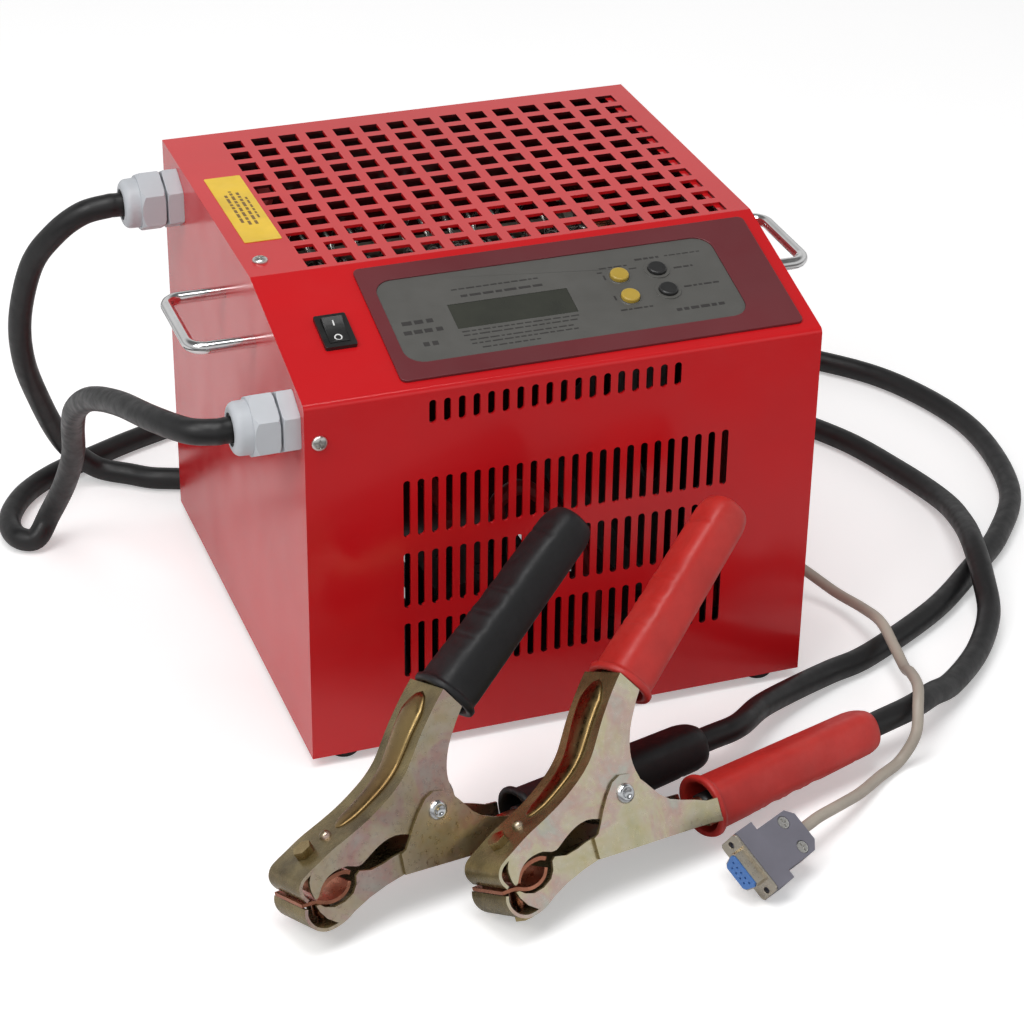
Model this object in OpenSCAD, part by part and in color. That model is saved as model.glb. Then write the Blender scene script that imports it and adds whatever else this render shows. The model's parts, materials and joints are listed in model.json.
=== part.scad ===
// Battery load tester: a folded steel casing with a sloped control panel,
// two heavy power leads with spring clamps, and a data lead with a 9-way plug.
// Frame: origin on the floor, under the middle of the whole set as it lies (casing
// and leads together). X to the right (seen from the front), Y to the rear, Z up.
// Millimetres.

/* [Casing] */
// Width of the casing
case_w = 250; // [240:1:270]
// Depth of the casing
case_d = 258; // [252:1:280]
// Height of the casing without its feet
case_h = 211; // [208:1:230]
// Height of the front face, up to the fold of the sloped panel
front_h = 187; // [184:1:190]
// Depth of the sloped panel, seen from above
slope_d = 87; // [85:1:89]
// Sheet thickness
sheet = 1.5; // [1.2:0.1:2]
// Height of the rubber feet
foot_h = 5; // [4:0.5:7]
// Diameter of the rubber feet
foot_dia = 16; // [14:1:20]

/* [Grill] */
// Columns of square holes in the top
grill_cols = 15; // [10:1:15]
// Rows of square holes in the top
grill_rows = 11; // [8:1:11]
// Distance between hole centres
grill_pitch = 14.4; // [13.5:0.1:14.4]
// Width of a hole
grill_hole = 9.3; // [8:0.1:11.2]
// Width of a front louvre slot
slot_w = 3.4; // [2.5:0.1:4]
// Length of a slot in the three tall rows
slot_tall = 29.4; // [20:0.2:30]
// Length of a slot in the short upper row
slot_short = 11.8; // [8:0.2:14]

/* [Panel] */
// Display window width
lcd_w = 58.5; // [50:0.5:64]
// Display window height
lcd_h = 17; // [14:0.5:18]
// Diameter of a push button cap
key_dia = 9; // [8:0.25:9.5]
// Tilt of the rocker from one side to the other
rocker_swing = 16; // [10:1:16]

/* [Leads] */
// Diameter of a power lead
lead_dia = 12; // [10:0.5:12]
// Diameter of the data lead
data_dia = 5.5; // [4.5:0.5:6]
// Points round a lead
lead_sides = 12; // [8:2:16]

/* [Clamps] */
// Outside width of the upper jaw channel
jaw_w = 28; // [27:0.5:28]
// Plate thickness of the jaws
jaw_t = 1.5; // [1.2:0.1:1.5]
// Pivot rivet diameter
rivet_dia = 8; // [7:0.5:8]
// Wire diameter of the torsion spring
spring_wire = 3; // [2:0.25:3]

/* [Hidden] */
$fn = 48;

// Middle of the casing [x, y], measured from the middle of the whole set
stand = [-52, 24];
slope_angle = atan2(case_h - front_h, slope_d);
lead_r = lead_dia / 2;
data_r = data_dia / 2;
// Floor height in the casing's frame
floor_z = -foot_h;

// Places on the side walls, as [y, z]
gland_rear = [228, 192];
gland_front = [18, 172];
data_exit = [80, 30];
handle_y = [82, 137];
handle_z = 181;

case_red = [0.72, 0.09, 0.11];
yellow_cap = [0.86, 0.68, 0.2];
black_cap = [0.1, 0.1, 0.1];
handle_grey = [0.8, 0.8, 0.82];
gland_grey = [0.72, 0.73, 0.75];
seal_black = [0.05, 0.05, 0.05];
lead_black = [0.07, 0.07, 0.075];
jaw_brass = [0.76, 0.72, 0.55];
spring_grey = [0.6, 0.6, 0.62];
sleeve_black = [0.08, 0.08, 0.09];
sleeve_red = [0.8, 0.16, 0.14];
contact_copper = [0.62, 0.36, 0.28];

// ---------------------------------------------------------------- curves and outlines
// Catmull-Rom point between b and c
function spline_point(a, b, c, d, t) = 0.5 * ((2 * b) + (c - a) * t
    + (2 * a - 5 * b + 4 * c - d) * t * t + (3 * b - a - 3 * c + d) * t * t * t);
// Smooth open curve through the points, with steps points for each stretch
function curve(points, steps) = let (last = len(points) - 1) [
    for (i = [0:last - 1]) for (k = [0:steps - 1])
        spline_point(points[max(i - 1, 0)], points[i], points[i + 1],
            points[min(i + 2, last)], k / steps),
    points[last]];
function unit(v) = v / norm(v);
function tangent(points, i) =
    unit(points[min(i + 1, len(points) - 1)] - points[max(i - 1, 0)]);
// Part of v square to the unit vector along, as a unit vector
function square_to(v, along) = unit(v - (v * along) * along);
function first_normal(along) =
    unit(cross(abs(along[2]) < 0.8 ? [0, 0, 1] : [1, 0, 0], along));
function reversed(points) = [for (i = [len(points) - 1:-1:0]) points[i]];
function slice(points, first, last) = [for (i = [first:last]) points[i]];
// Open plane curve moved to its left
function offset_left(points, distance) = [for (i = [0:len(points) - 1])
    let (along = tangent(points, i)) points[i] + distance * [-along[1], along[0]]];
// Closed outline of a strip along an open curve
function strip(points, thickness) = concat(points, reversed(offset_left(points, thickness)));
function arc(centre, radius, start, end, steps) = [for (i = [0:steps])
    let (a = start + (end - start) * i / steps) centre + radius * [cos(a), sin(a)]];
// Rectangle with round corners; box is [x0, y0, x1, y1]
function round_box(box, r, steps = 6) = concat(
    arc([box[2] - r, box[3] - r], r, 0, 90, steps),
    arc([box[0] + r, box[3] - r], r, 90, 180, steps),
    arc([box[0] + r, box[1] + r], r, 180, 270, steps),
    arc([box[2] - r, box[1] + r], r, 270, 360, steps));
// Corner diameter of a hexagon from its width across flats
function hex_dia(flats) = flats / cos(30);

// Round tube swept along the points
module sweep(points, radius, sides) {
    rings = len(points);
    tangents = [for (i = [0:rings - 1]) tangent(points, i)];
    // each ring's normal is carried on from the last, so the tube does not twist
    normals = [for (i = 0, v = first_normal(tangents[0]); i < rings;
        i = i + 1, v = i < rings ? square_to(v, tangents[i]) : v) v];
    vertices = [for (i = [0:rings - 1]) let (u = normals[i], w = cross(tangents[i], u))
        for (k = [0:sides - 1]) let (a = 360 * k / sides)
            points[i] + radius * (cos(a) * u + sin(a) * w)];
    walls = [for (i = [0:rings - 2]) for (k = [0:sides - 1])
        let (next = (k + 1) % sides)
        [i * sides + k, i * sides + next, (i + 1) * sides + next, (i + 1) * sides + k]];
    // split each four-sided wall into two triangles
    triangles = [for (w = walls) each [[w[0], w[2], w[1]], [w[0], w[3], w[2]]]];
    start_cap = [for (k = [0:sides - 1]) k];
    end_cap = [for (k = [sides - 1:-1:0]) (rings - 1) * sides + k];
    polyhedron(points = vertices, faces = concat(triangles, [start_cap, end_cap]),
        convexity = 10);
}

// ---------------------------------------------------------------- frames
// Casing's frame: origin at its front left lower corner, above the feet
module in_case() {
    translate([stand[0] - case_w / 2, stand[1] - case_d / 2, foot_h]) children();
}
// Frame of the sloped panel, in the casing's frame: x along its width, y up the slope,
// z outwards
module slope_frame() translate([0, 0, front_h]) rotate([slope_angle, 0, 0]) children();
module on_slope() in_case() slope_frame() children();
// Left wall's things (side 0), or mirrored to the right wall (side 1)
module on_side(side) translate([side * case_w, 0, 0]) mirror([side, 0, 0]) children();
module both_sides() for (side = [0, 1]) on_side(side) children();
// Turns local z to +X at a place
module facing_x(place) translate(place) rotate([0, 90, 0]) children();
// Extrudes a YZ outline along +X
module extrude_x(length) rotate([90, 0, 90]) linear_extrude(length) children();
// Plate in the XY plane with round corners
module round_plate(box, r, z0, z1) {
    translate([0, 0, z0]) linear_extrude(z1 - z0) polygon(round_box(box, r));
}

// ---------------------------------------------------------------- control panel places
// All in the frame of the sloped panel, [x, y]
// Upper and lower yellow button, then upper and lower black button
key_places = [[168.6, 54.6], [168.6, 39.4], [187.9, 55.4], [187.9, 40.2]];
yellow_keys = [0, 1];
black_keys = [2, 3];
rocker_place = [27.5, 44.8];
rocker_size = [15, 22];
rocker_hole = [13, 19.5];
lcd_place = [112.2, 43.5];
// Boxes [x0, y0, x1, y1]
plate_box = [53.5, 16.5, 220.5, 74];
bezel_box = [47, 6, 243, 84.5];

module at_keys(keys = [0:3]) for (i = keys) translate(key_places[i]) children();
// Block round the display's window, with a margin on its four sides
module lcd_block(margin, z, height)
    translate([lcd_place[0] - lcd_w / 2 - margin, lcd_place[1] - lcd_h / 2 - margin, z])
        cube([lcd_w + 2 * margin, lcd_h + 2 * margin, height]);

// ---------------------------------------------------------------- casing
fold_r = 3;
// The side walls fold just outside the cover's inner radius
side_fold_r = 1.55;
flange_w = 14;
screw_dia = 3.2;
screw_bore = 3.3;
screw_clearance = 4.2;
screw_inset = 8;
screw_columns = [screw_inset, case_w - screw_inset];
foot_inset = [18, 10];
foot_bore = 4.1;
short_pitch = 6.96;
tall_pitch = 6.79;

// Side view [y, z] of the folds, from the front face to the top
function fold_line(inset, r) =
    let (start_z = front_h - (r + inset) * tan((90 - slope_angle) / 2))
    concat(
        arc([inset + r, start_z], r, 180, 90 + slope_angle, 6),
        arc([slope_d + (r + inset) * tan(slope_angle / 2), case_h - inset - r], r,
            90 + slope_angle, 90, 3));
// Side view of the bent cover, from the bottom of the front to the rear of the top
function cover_line(inset, r) =
    concat([[inset, 0]], fold_line(inset, r), [[case_d, case_h - inset]]);
// Outline of a side wall, tucked under the cover
function side_line(inset) = concat([[inset, inset]], fold_line(inset, side_fold_r),
    [[case_d - inset, case_h - inset], [case_d - inset, inset]]);

module slot(width, length) {
    square([width, length - width], center = true);
    translate([0, (length - width) / 2]) circle(d = width, $fn = 20);
    translate([0, -(length - width) / 2]) circle(d = width, $fn = 20);
}
// Grid of slots; start, pitch and count are [across, up]
module slots(start, pitch, count, width, length) {
    for (i = [0:count[0] - 1]) for (j = [0:count[1] - 1])
        translate([start[0] + i * pitch[0], start[1] + j * pitch[1]]) slot(width, length);
}

// Screw places, with z out of the casing.
// One screw in the front and one in the top hold the cover at its left edge
module front_screw_place() translate([6.8, 0, 168.5]) rotate([90, 0, 0]) children();
module top_screw_place() translate([9.1, 102.7, case_h]) children();
module rear_screw_places(columns = screw_columns)
    for (x = columns) for (z = [30, 150])
        translate([x, case_d, z]) rotate([-90, 0, 0]) children();
module base_screw_places(columns = screw_columns)
    for (x = columns) for (y = [40, case_d - 40])
        translate([x, y, 0]) rotate([180, 0, 0]) children();
module foot_places()
    for (x = [foot_inset[0], case_w - foot_inset[0]])
        for (y = [foot_inset[1], case_d - foot_inset[1]]) translate([x, y, 0]) children();

module front_cover() color(case_red) in_case() difference() {
    extrude_x(case_w)
        polygon(concat(cover_line(0, fold_r), reversed(cover_line(sheet, fold_r / 2))));
    // short louvre row over three tall ones
    rotate([90, 0, 0]) translate([0, 0, -3]) linear_extrude(6) {
        slots([59.7, 175.4], [short_pitch, 0], [18, 1], slot_w, slot_short);
        slots([47.3, 51.5], [tall_pitch, 37.9], [24, 3], slot_w, slot_tall);
    }
    // square grill holes in the top, the rows a little wider apart than the columns
    translate([0, 0, case_h - 3]) linear_extrude(6)
        for (i = [0:grill_cols - 1]) for (j = [0:grill_rows - 1])
            translate([33 + i * grill_pitch, 94.6 + j * grill_pitch * 1.013])
                square(grill_hole, center = true);
    // openings under the control panel
    slope_frame() {
        lcd_block(margin = 1, z = -4, height = 8);
        at_keys() translate([0, 0, -4]) cylinder(d = key_dia + 1, h = 8);
        translate([rocker_place[0] - rocker_hole[0] / 2, rocker_place[1] - rocker_hole[1] / 2, -4])
            cube([rocker_hole[0], rocker_hole[1], 8]);
    }
    front_screw_place() cylinder(d = screw_clearance, h = 8, center = true);
    top_screw_place() cylinder(d = screw_clearance, h = 8, center = true);
}

// Left side wall with flanges turned inwards
module side_wall() difference() {
    union() {
        extrude_x(sheet) polygon(side_line(sheet));
        extrude_x(flange_w) difference() {
            polygon(side_line(sheet));
            polygon(side_line(sheet * 2));
        }
    }
    rear_screw_places([screw_inset]) cylinder(d = screw_bore, h = 10, center = true);
    base_screw_places([screw_inset]) cylinder(d = screw_bore, h = 10, center = true);
    for (y = handle_y) facing_x([-1, y, handle_z]) cylinder(d = 4.3, h = 5);
}
module side_panel_left() color(case_red) in_case() difference() {
    side_wall();
    front_screw_place() cylinder(d = screw_bore, h = 10, center = true);
    top_screw_place() cylinder(d = screw_bore, h = 10, center = true);
    for (gland = [gland_rear, gland_front])
        facing_x([-1, gland[0], gland[1]]) cylinder(d = 22.5, h = 5);
}
module side_panel_right() color(case_red) in_case() difference() {
    on_side(1) side_wall();
    facing_x([case_w - 4, data_exit[0], data_exit[1]]) cylinder(d = 9, h = 8);
}
module base_plate() color([0.66, 0.08, 0.1]) in_case() difference() {
    translate([0, sheet, 0]) cube([case_w, case_d - sheet, sheet]);
    foot_places() translate([0, 0, -1]) cylinder(d = foot_bore, h = 4);
    base_screw_places() translate([0, 0, -3]) cylinder(d = screw_clearance, h = 4);
    translate([0, 0, -1]) linear_extrude(4) slots([75, 150], [11, 0], [10, 1], 4, 60);
}
module rear_panel() color(case_red) in_case() difference() {
    translate([0, case_d - sheet, sheet]) cube([case_w, sheet, case_h - 2 * sheet]);
    translate([0, case_d + 1, 0]) rotate([90, 0, 0]) linear_extrude(4)
        slots([66, 60], [short_pitch, 60], [18, 2], slot_w, slot_tall);
    rear_screw_places() translate([0, 0, -3]) cylinder(d = screw_clearance, h = 4);
}

// Pan-head cross-recess screw, head on +Z, its seat at z = 0
module pan_screw(dia, length, head = 7.4) difference() {
    union() {
        translate([0, 0, -length]) cylinder(d = dia, h = length);
        rotate_extrude() polygon(concat([[0, 0], [head / 2, 0], [head / 2, 0.6]],
            [for (i = [1:5]) [head / 2 * cos(i * 18), 0.6 + 1.7 * sin(i * 18)]]));
    }
    for (a = [0, 90]) rotate(a) translate([-head * 0.3, -0.45, 1.1])
        cube([head * 0.6, 0.9, 3]);
}
module cover_screws() color("silver") in_case() {
    front_screw_place() pan_screw(screw_dia, 4.5);
    top_screw_place() pan_screw(screw_dia, 6);
    rear_screw_places() pan_screw(screw_dia, 6);
    base_screw_places() pan_screw(screw_dia, 6);
}
module feet() color([0.06, 0.06, 0.06]) in_case() foot_places() difference() {
    rotate_extrude() polygon([[0, 0], [foot_dia / 2, 0], [foot_dia / 2 - 1, -foot_h + 1],
        [foot_dia / 2 - 2, -foot_h], [0, -foot_h]]);
    // recess for the screw head, and the screw's bore
    translate([0, 0, -foot_h - 1]) cylinder(d = 8, h = 3.5);
    translate([0, 0, -foot_h - 1]) cylinder(d = foot_bore, h = foot_h + 3);
}
module foot_screws() color("silver") in_case() foot_places() {
    // the screw, its head cut flat
    translate([0, 0, -foot_h + 2.5]) rotate([180, 0, 0]) intersection() {
        pan_screw(4, foot_h + 3, 7);
        translate([0, 0, -20]) cylinder(d = 20, h = 21.9);
    }
    // its nut inside the casing
    translate([0, 0, sheet]) rotate(30) difference() {
        cylinder(d = 8.1, h = 3.2, $fn = 6);
        translate([0, 0, -1]) cylinder(d = 4, h = 6);
    }
}

// ---------------------------------------------------------------- control panel
plate_corner = 9;
// Play of the face plate in the bezel
plate_play = 0.05;
board_under = -12;
board_thick = 1.6;
board_top = board_under + board_thick;
board_holes = [[66, 22], [66, 66], [202, 22], [202, 66]];
// Processor, relay driver and socket under the board: [corner, size]
board_blocks = [
    [[90, 30, -14.2], [14, 14, 2.2]],
    [[120, 28, -20], [16, 12, 8]],
    [[150, 26, -18], [20, 8, 6]]];

module panel_bezel() color([0.42, 0.1, 0.13]) on_slope() difference() {
    round_plate(bezel_box, 3, 0.02, 1.4);
    round_plate(plate_box + plate_play * [-1, -1, 1, 1], plate_corner, -1, 3);
}
module face_plate() color([0.42, 0.42, 0.4]) on_slope() difference() {
    union() {
        round_plate(plate_box, plate_corner, 0.02, 0.9);
        // raised rings round the buttons
        at_keys(black_keys) translate([0, 0, 0.1]) cylinder(d = 12.4, h = 1.4);
        at_keys(yellow_keys) translate([0, 0, 0.1]) cylinder(d = 11, h = 1.1);
    }
    lcd_block(margin = 0, z = -1, height = 4);
    at_keys() translate([0, 0, -1]) cylinder(d = key_dia + 0.15, h = 4);
}
module display_window() color([0.2, 0.22, 0.18]) on_slope()
    lcd_block(margin = 0, z = -0.9, height = 1.5);
module display_module() color([0.1, 0.3, 0.15]) on_slope() difference() {
    translate(lcd_place) union() {
        translate([-35.5, -13, -8]) cube([71, 26, 6.4]);
        translate([-40, -17, -9.6]) cube([80, 34, 1.6]);
        translate([-20, 12, -10.4]) cube([40, 2.5, 0.8]);
    }
    lcd_block(margin = 1, z = -2.6, height = 2);
}
module control_board() color([0.05, 0.35, 0.15]) on_slope() union() {
    difference() {
        translate([60, 17, board_under]) cube([148, 54, board_thick]);
        for (place = board_holes) translate([place[0], place[1], -14]) cylinder(d = 3.2, h = 5);
    }
    for (block = board_blocks) translate(block[0]) cube(block[1]);
    translate([180, 24, -24]) cylinder(d = 10, h = 12);
    translate([192, 50, -22]) cylinder(d = 8, h = 10);
}
module board_standoffs() color("silver") on_slope()
    for (place = board_holes) translate(place) difference() {
        union() {
            translate([0, 0, board_top]) cylinder(d = 6, h = -board_top - sheet, $fn = 6);
            // screw from below
            translate([0, 0, board_under - 2.4]) cylinder(d = 5.6, h = 2.4);
            translate([0, 0, -13]) cylinder(d = 3, h = 4);
        }
        translate([-1.8, -0.4, -15]) cube([3.6, 0.8, 1.6]);
    }
module key_switches() color([0.15, 0.15, 0.15]) on_slope()
    at_keys() translate([0, 0, board_top]) {
        translate([-3, -3, 0]) cube([6, 6, 3.5]);
        translate([0, 0, 3.5]) cylinder(d = 3.5, h = 0.5);
    }

// Button cap with a retaining rim, a domed top and a stem
module key_cap(i) on_slope() at_keys([i]) {
    cap_r = key_dia / 2;
    rim_r = cap_r + 1.4;
    rotate_extrude() polygon(concat(
        [[0, -2.8], [rim_r, -2.8], [rim_r, -1.6], [cap_r, -1.6], [cap_r, 2.2]],
        [for (k = [1:5]) [cap_r * (0.8 + 0.2 * cos(k * 18)), 2.2 + 0.9 * sin(k * 18)]],
        [[0, 3.1]]));
    translate([0, 0, -5.2]) cylinder(d = 4, h = 2.6);
}
module button_yellow_upper() color(yellow_cap) key_cap(0);
module button_yellow_lower() color(yellow_cap) key_cap(1);
module button_black_upper() color(black_cap) key_cap(2);
module button_black_lower() color(black_cap) key_cap(3);

// Rocker switch: housing with bezel, and a paddle on two trunnions
trunnion_z = -1.5;
// Side view of the paddle, [y, z] from the trunnions, its top slightly hollow
paddle_line = concat([[-6, -3], [6, -3], [7.7, 1], [7.6, 4.8]],
    [for (k = [1:7]) let (y = 7.6 - k * 1.9) [y, 4.8 - 0.9 * (1 - pow(y / 7.6, 2))]],
    [[-7.6, 4.8], [-7.7, 1]]);
module in_rocker() on_slope() translate(rocker_place) children();
module rocker_housing() color([0.07, 0.07, 0.07]) in_rocker() difference() {
    union() {
        round_plate([-rocker_size[0], -rocker_size[1], rocker_size[0], rocker_size[1]] / 2,
            1, 0.02, 2);
        translate([-6.4, -9.6, -13]) cube([12.8, 19.2, 13.5]);
        // terminal blades
        for (y = [-6, 0, 6]) translate([-2.4, y - 0.4, -20]) cube([4.8, 0.8, 8]);
    }
    translate([-4.9, -8.3, -9]) cube([9.8, 16.6, 14]);
    facing_x([0, 0, trunnion_z]) cylinder(d = 2.6, h = 11.8, center = true);
}
module rocker_paddle() color([0.09, 0.09, 0.09]) in_rocker()
    translate([0, 0, trunnion_z]) rotate([rocker_swing / 2, 0, 0]) {
        difference() {
            translate([-4.75, 0, 0]) extrude_x(9.5) polygon(paddle_line);
            // I and O marks, cut shallow
            translate([-0.35, 2.6, 4.1]) cube([0.7, 3.2, 2]);
            translate([0, -4.4, 4.1]) difference() {
                cylinder(d = 3.8, h = 2);
                translate([0, 0, -1]) cylinder(d = 2.5, h = 4);
            }
        }
        rotate([0, 90, 0]) cylinder(d = 2.5, h = 11.4, center = true);
    }
module warning_label() color([0.93, 0.75, 0.15]) in_case()
    translate([0, 0, case_h]) round_plate([7.4, 123.8, 25.6, 202], 0.8, 0, 0.3);

// ---------------------------------------------------------------- handles
handle_r = 3;
handle_out = 30;
handle_bend = 8;

// Quarter bend of the bar, turned about Z
module handle_corner(y, turn)
    translate([-handle_out + handle_bend, y, handle_z]) rotate([0, 0, turn])
        rotate_extrude(angle = 90) translate([handle_bend, 0]) circle(r = handle_r, $fn = 24);
// Handle of the left wall: two legs, a grip along Y and two bends
module handle() {
    for (y = handle_y) difference() {
        facing_x([-handle_out + handle_bend, y, handle_z])
            cylinder(r = handle_r, h = handle_out - handle_bend);
        facing_x([-13, y, handle_z]) cylinder(d = screw_bore, h = 14);
    }
    translate([-handle_out, handle_y[0] + handle_bend, handle_z]) rotate([-90, 0, 0])
        cylinder(r = handle_r, h = handle_y[1] - handle_y[0] - 2 * handle_bend);
    handle_corner(handle_y[0] + handle_bend, 180);
    handle_corner(handle_y[1] - handle_bend, 90);
}
module handle_left() color(handle_grey) in_case() handle();
module handle_right() color(handle_grey) in_case() on_side(1) handle();
module handle_screws() color("silver") in_case() both_sides()
    for (y = handle_y) facing_x([sheet, y, handle_z]) pan_screw(screw_dia, 12);

// ---------------------------------------------------------------- cable glands
gland_hex = hex_dia(27);
// How far a gland reaches out of the wall
gland_len = 29;

// Each gland lies along -X: z outwards, its seat on the left wall at z = 0
module gland_places() in_case() for (gland = [gland_rear, gland_front])
    translate([0, gland[0], gland[1]]) rotate([0, -90, 0]) children();
module gland_bodies() color(gland_grey) gland_places() difference() {
    union() {
        intersection() {
            cylinder(d = gland_hex, h = 8, $fn = 6);
            rotate_extrude()
                polygon([[0, 0], [15.2, 0], [15.6, 0.6], [15.6, 7.2], [14.2, 8], [0, 8]]);
        }
        cylinder(d = 20.4, h = 15);
        translate([0, 0, -11]) cylinder(d = 22.3, h = 11.5);
    }
    translate([0, 0, -12]) cylinder(d = 15, h = 24);
    translate([0, 0, 10]) cylinder(d1 = 15, d2 = 19, h = 6);
}
module gland_nuts() color([0.74, 0.75, 0.77]) gland_places() difference() {
    union() {
        translate([0, 0, 9.2]) intersection() {
            cylinder(d = gland_hex, h = 11.8, $fn = 6);
            rotate_extrude() polygon([[0, 0], [14.4, 0], [15.6, 0.8], [15.6, 9.8],
                [13.6, 11.8], [0, 11.8]]);
        }
        translate([0, 0, 20]) rotate_extrude()
            polygon(concat([[0, 0], [12.6, 0], [12.4, 5]], arc([8.9, 5.5], 3.5, 0, 90, 6),
                [[0, 9]]));
    }
    translate([0, 0, 8]) cylinder(d = 20.6, h = 8.5);
    translate([0, 0, 16]) cylinder(d = 19, h = 6);
    translate([0, 0, 21.9]) cylinder(d1 = 19, d2 = 15.6, h = 5);
    translate([0, 0, 20]) cylinder(d = 15.6, h = 12);
}
module gland_seals() color(seal_black) gland_places() difference() {
    union() {
        translate([0, 0, 16.2]) cylinder(d = 18.8, h = 5.7);
        translate([0, 0, 21.8]) cylinder(d = 15.4, h = 6.4);
    }
    translate([0, 0, 15]) cylinder(d = lead_dia + 0.04, h = 15);
}
module gland_locknuts() color(gland_grey) gland_places()
    translate([0, 0, -sheet - 5]) difference() {
        cylinder(d = hex_dia(26), h = 5, $fn = 6);
        translate([0, 0, -1]) cylinder(d = 22.4, h = 7);
    }

// ---------------------------------------------------------------- clamp places
// Black clamp first, then red: pivot in the casing's frame, heading and backward lean
black = 0;
red = 1;
clamp_pivot = [[22, -95, 34.9], [103.5, -111.2, 33.4]];
clamp_heading = [15, 17];
clamp_lean = [19, 27];
// Sleeve axes, mouth to tip, as [u, v] in the clamp's plane
low_axis = [[49, -24.4], [149, -22.4]];
up_axis = [[23, 43.5], [103, 100]];

// Clamp's frame: x is u, along the jaw to the handles; y across it; z is v, up; pivot at 0
module place(clamp) in_case() translate(clamp_pivot[clamp])
    rotate([0, 0, clamp_heading[clamp]]) rotate([-clamp_lean[clamp], 0, 0]) children();
// Point [u, v] of a clamp's middle plane, in the casing's frame
function at_clamp(clamp, point) =
    let (heading = clamp_heading[clamp], lean = clamp_lean[clamp])
    clamp_pivot[clamp] + point[0] * [cos(heading), sin(heading), 0]
    + point[1] * [-sin(heading) * sin(lean), cos(heading) * sin(lean), cos(lean)];

// ---------------------------------------------------------------- leads
// Height of a lead's axis where it lies on the floor
lead_rest = floor_z + lead_r;
data_rest = floor_z + data_r;

// From inside a gland to just outside it
function gland_run(gland) =
    [for (x = [26, 4, -gland_len, -gland_len - 7]) [x, gland[0], gland[1]]];
// Through a lower sleeve from its tip, entered at the point [u, v]
function sleeve_run(clamp, entry) =
    [for (point = [entry, [154, -22.3], (low_axis[0] + low_axis[1]) / 2, [47, -24.44]])
        at_clamp(clamp, point)];
function raised(points, height) = [for (point = points) point + [0, 0, height]];

// Hanging part of each power lead: [x, y, z] in the casing's frame
rear_hanging = [
    [-49, 230.5, 188.5], [-62, 236, 177], [-73, 246, 157], [-79, 258, 123],
    [-77, 269, 92], [-68, 283, 60], [-58, 295, 33], [-49, 301, 17]];
front_hanging = [
    [-47, 24, 171.5], [-57, 48, 167], [-64, 90, 155], [-69, 130, 138],
    [-71, 160, 118], [-69, 184, 96], [-66, 206, 68], [-68, 226, 40], [-74, 243, 14]];
// Part along the floor: [x, y, height above rest]
rear_lying = [
    [-36, 302, 3], [-20, 294, 0.3], [-4, 284, 0], [30, 276, 0], [110, 275, 0],
    [210, 279, 0], [290, 276, 0], [344, 246, 0], [371, 209, 0], [386, 165, 0],
    [392, 124, 2.5], [386, 90, 9], [377, 60, 13.4], [369, 32, 9], [360, 8, 3.5],
    [340, -18, 1], [313, -43, 3.5], [295, -56, 9]];
front_lying = [
    [-83, 240, 1], [-92, 247, 0], [-92, 266, 0], [-80, 289, 0], [-60, 307, 0],
    [-35, 320, 0], [0, 336, 0], [60, 356, 0], [160, 372, 0], [270, 366, 0],
    [355, 337, 0], [405, 297, 0], [434, 255, 0], [448, 195, 0], [436, 128, 0],
    [406, 84, 0], [374, 55, 0], [338, 26, 0], [288, -2, 0], [262, -11.5, 1],
    [236, -24, 4], [212, -39, 8.5]];
rear_route = concat(gland_run(gland_rear), rear_hanging, raised(rear_lying, lead_rest),
    sleeve_run(red, [178, -21.82]));
front_route = concat(gland_run(gland_front), front_hanging, raised(front_lying, lead_rest),
    sleeve_run(black, [174, -21.9]));

// Plug's frame: x towards the mating face, y along the row of pins, z through the hood
plug_origin = [156, -154, 9.5];
plug_heading = -151.4;
plug_roll = -34.4;
module in_plug() in_case() translate(plug_origin) rotate([0, 0, plug_heading])
    rotate([plug_roll, 0, 0]) children();
function at_plug(x) = plug_origin + x * [cos(plug_heading), sin(plug_heading), 0];
data_route = concat(
    [for (x = [-12, -8, 4, 9]) [case_w + x, data_exit[0], data_exit[1]]],
    [[268, 77, 22], [283, 68, 12], [294, 50, 6], [298, 28, 9], [297.5, 6, 13.6],
     [296.5, -12, 10], [294.5, -28, 8], [289.5, -43, 15.5], [281.5, -65, 23.6],
     [276, -77, 21.2], [271.5, -85.5, 10.8], [263, -88, data_rest + 1.5],
     [249, -96, data_rest + 1], [232, -109, 1.8], [217, -119.5, 6]],
    [for (x = [-52, -43, -33, -22]) at_plug(x)]);

module power_lead_rear() color(lead_black) in_case()
    sweep(curve(rear_route, 3), lead_r, lead_sides);
module power_lead_front() color(lead_black) in_case()
    sweep(curve(front_route, 3), lead_r, lead_sides);
module data_lead() color([0.7, 0.68, 0.63]) in_case() sweep(curve(data_route, 3), data_r, 8);
// Grommet with a groove that holds the wall's edge
module data_grommet() color(seal_black) in_case()
    facing_x([case_w, data_exit[0], data_exit[1]]) difference() {
        rotate_extrude() polygon([[data_r + 0.03, -4], [6.5, -4], [6.5, -sheet - 0.02],
            [4.45, -sheet - 0.02], [4.45, 0.02], [6.5, 0.02], [6, 2.4], [data_r + 0.03, 3]]);
    }

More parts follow.
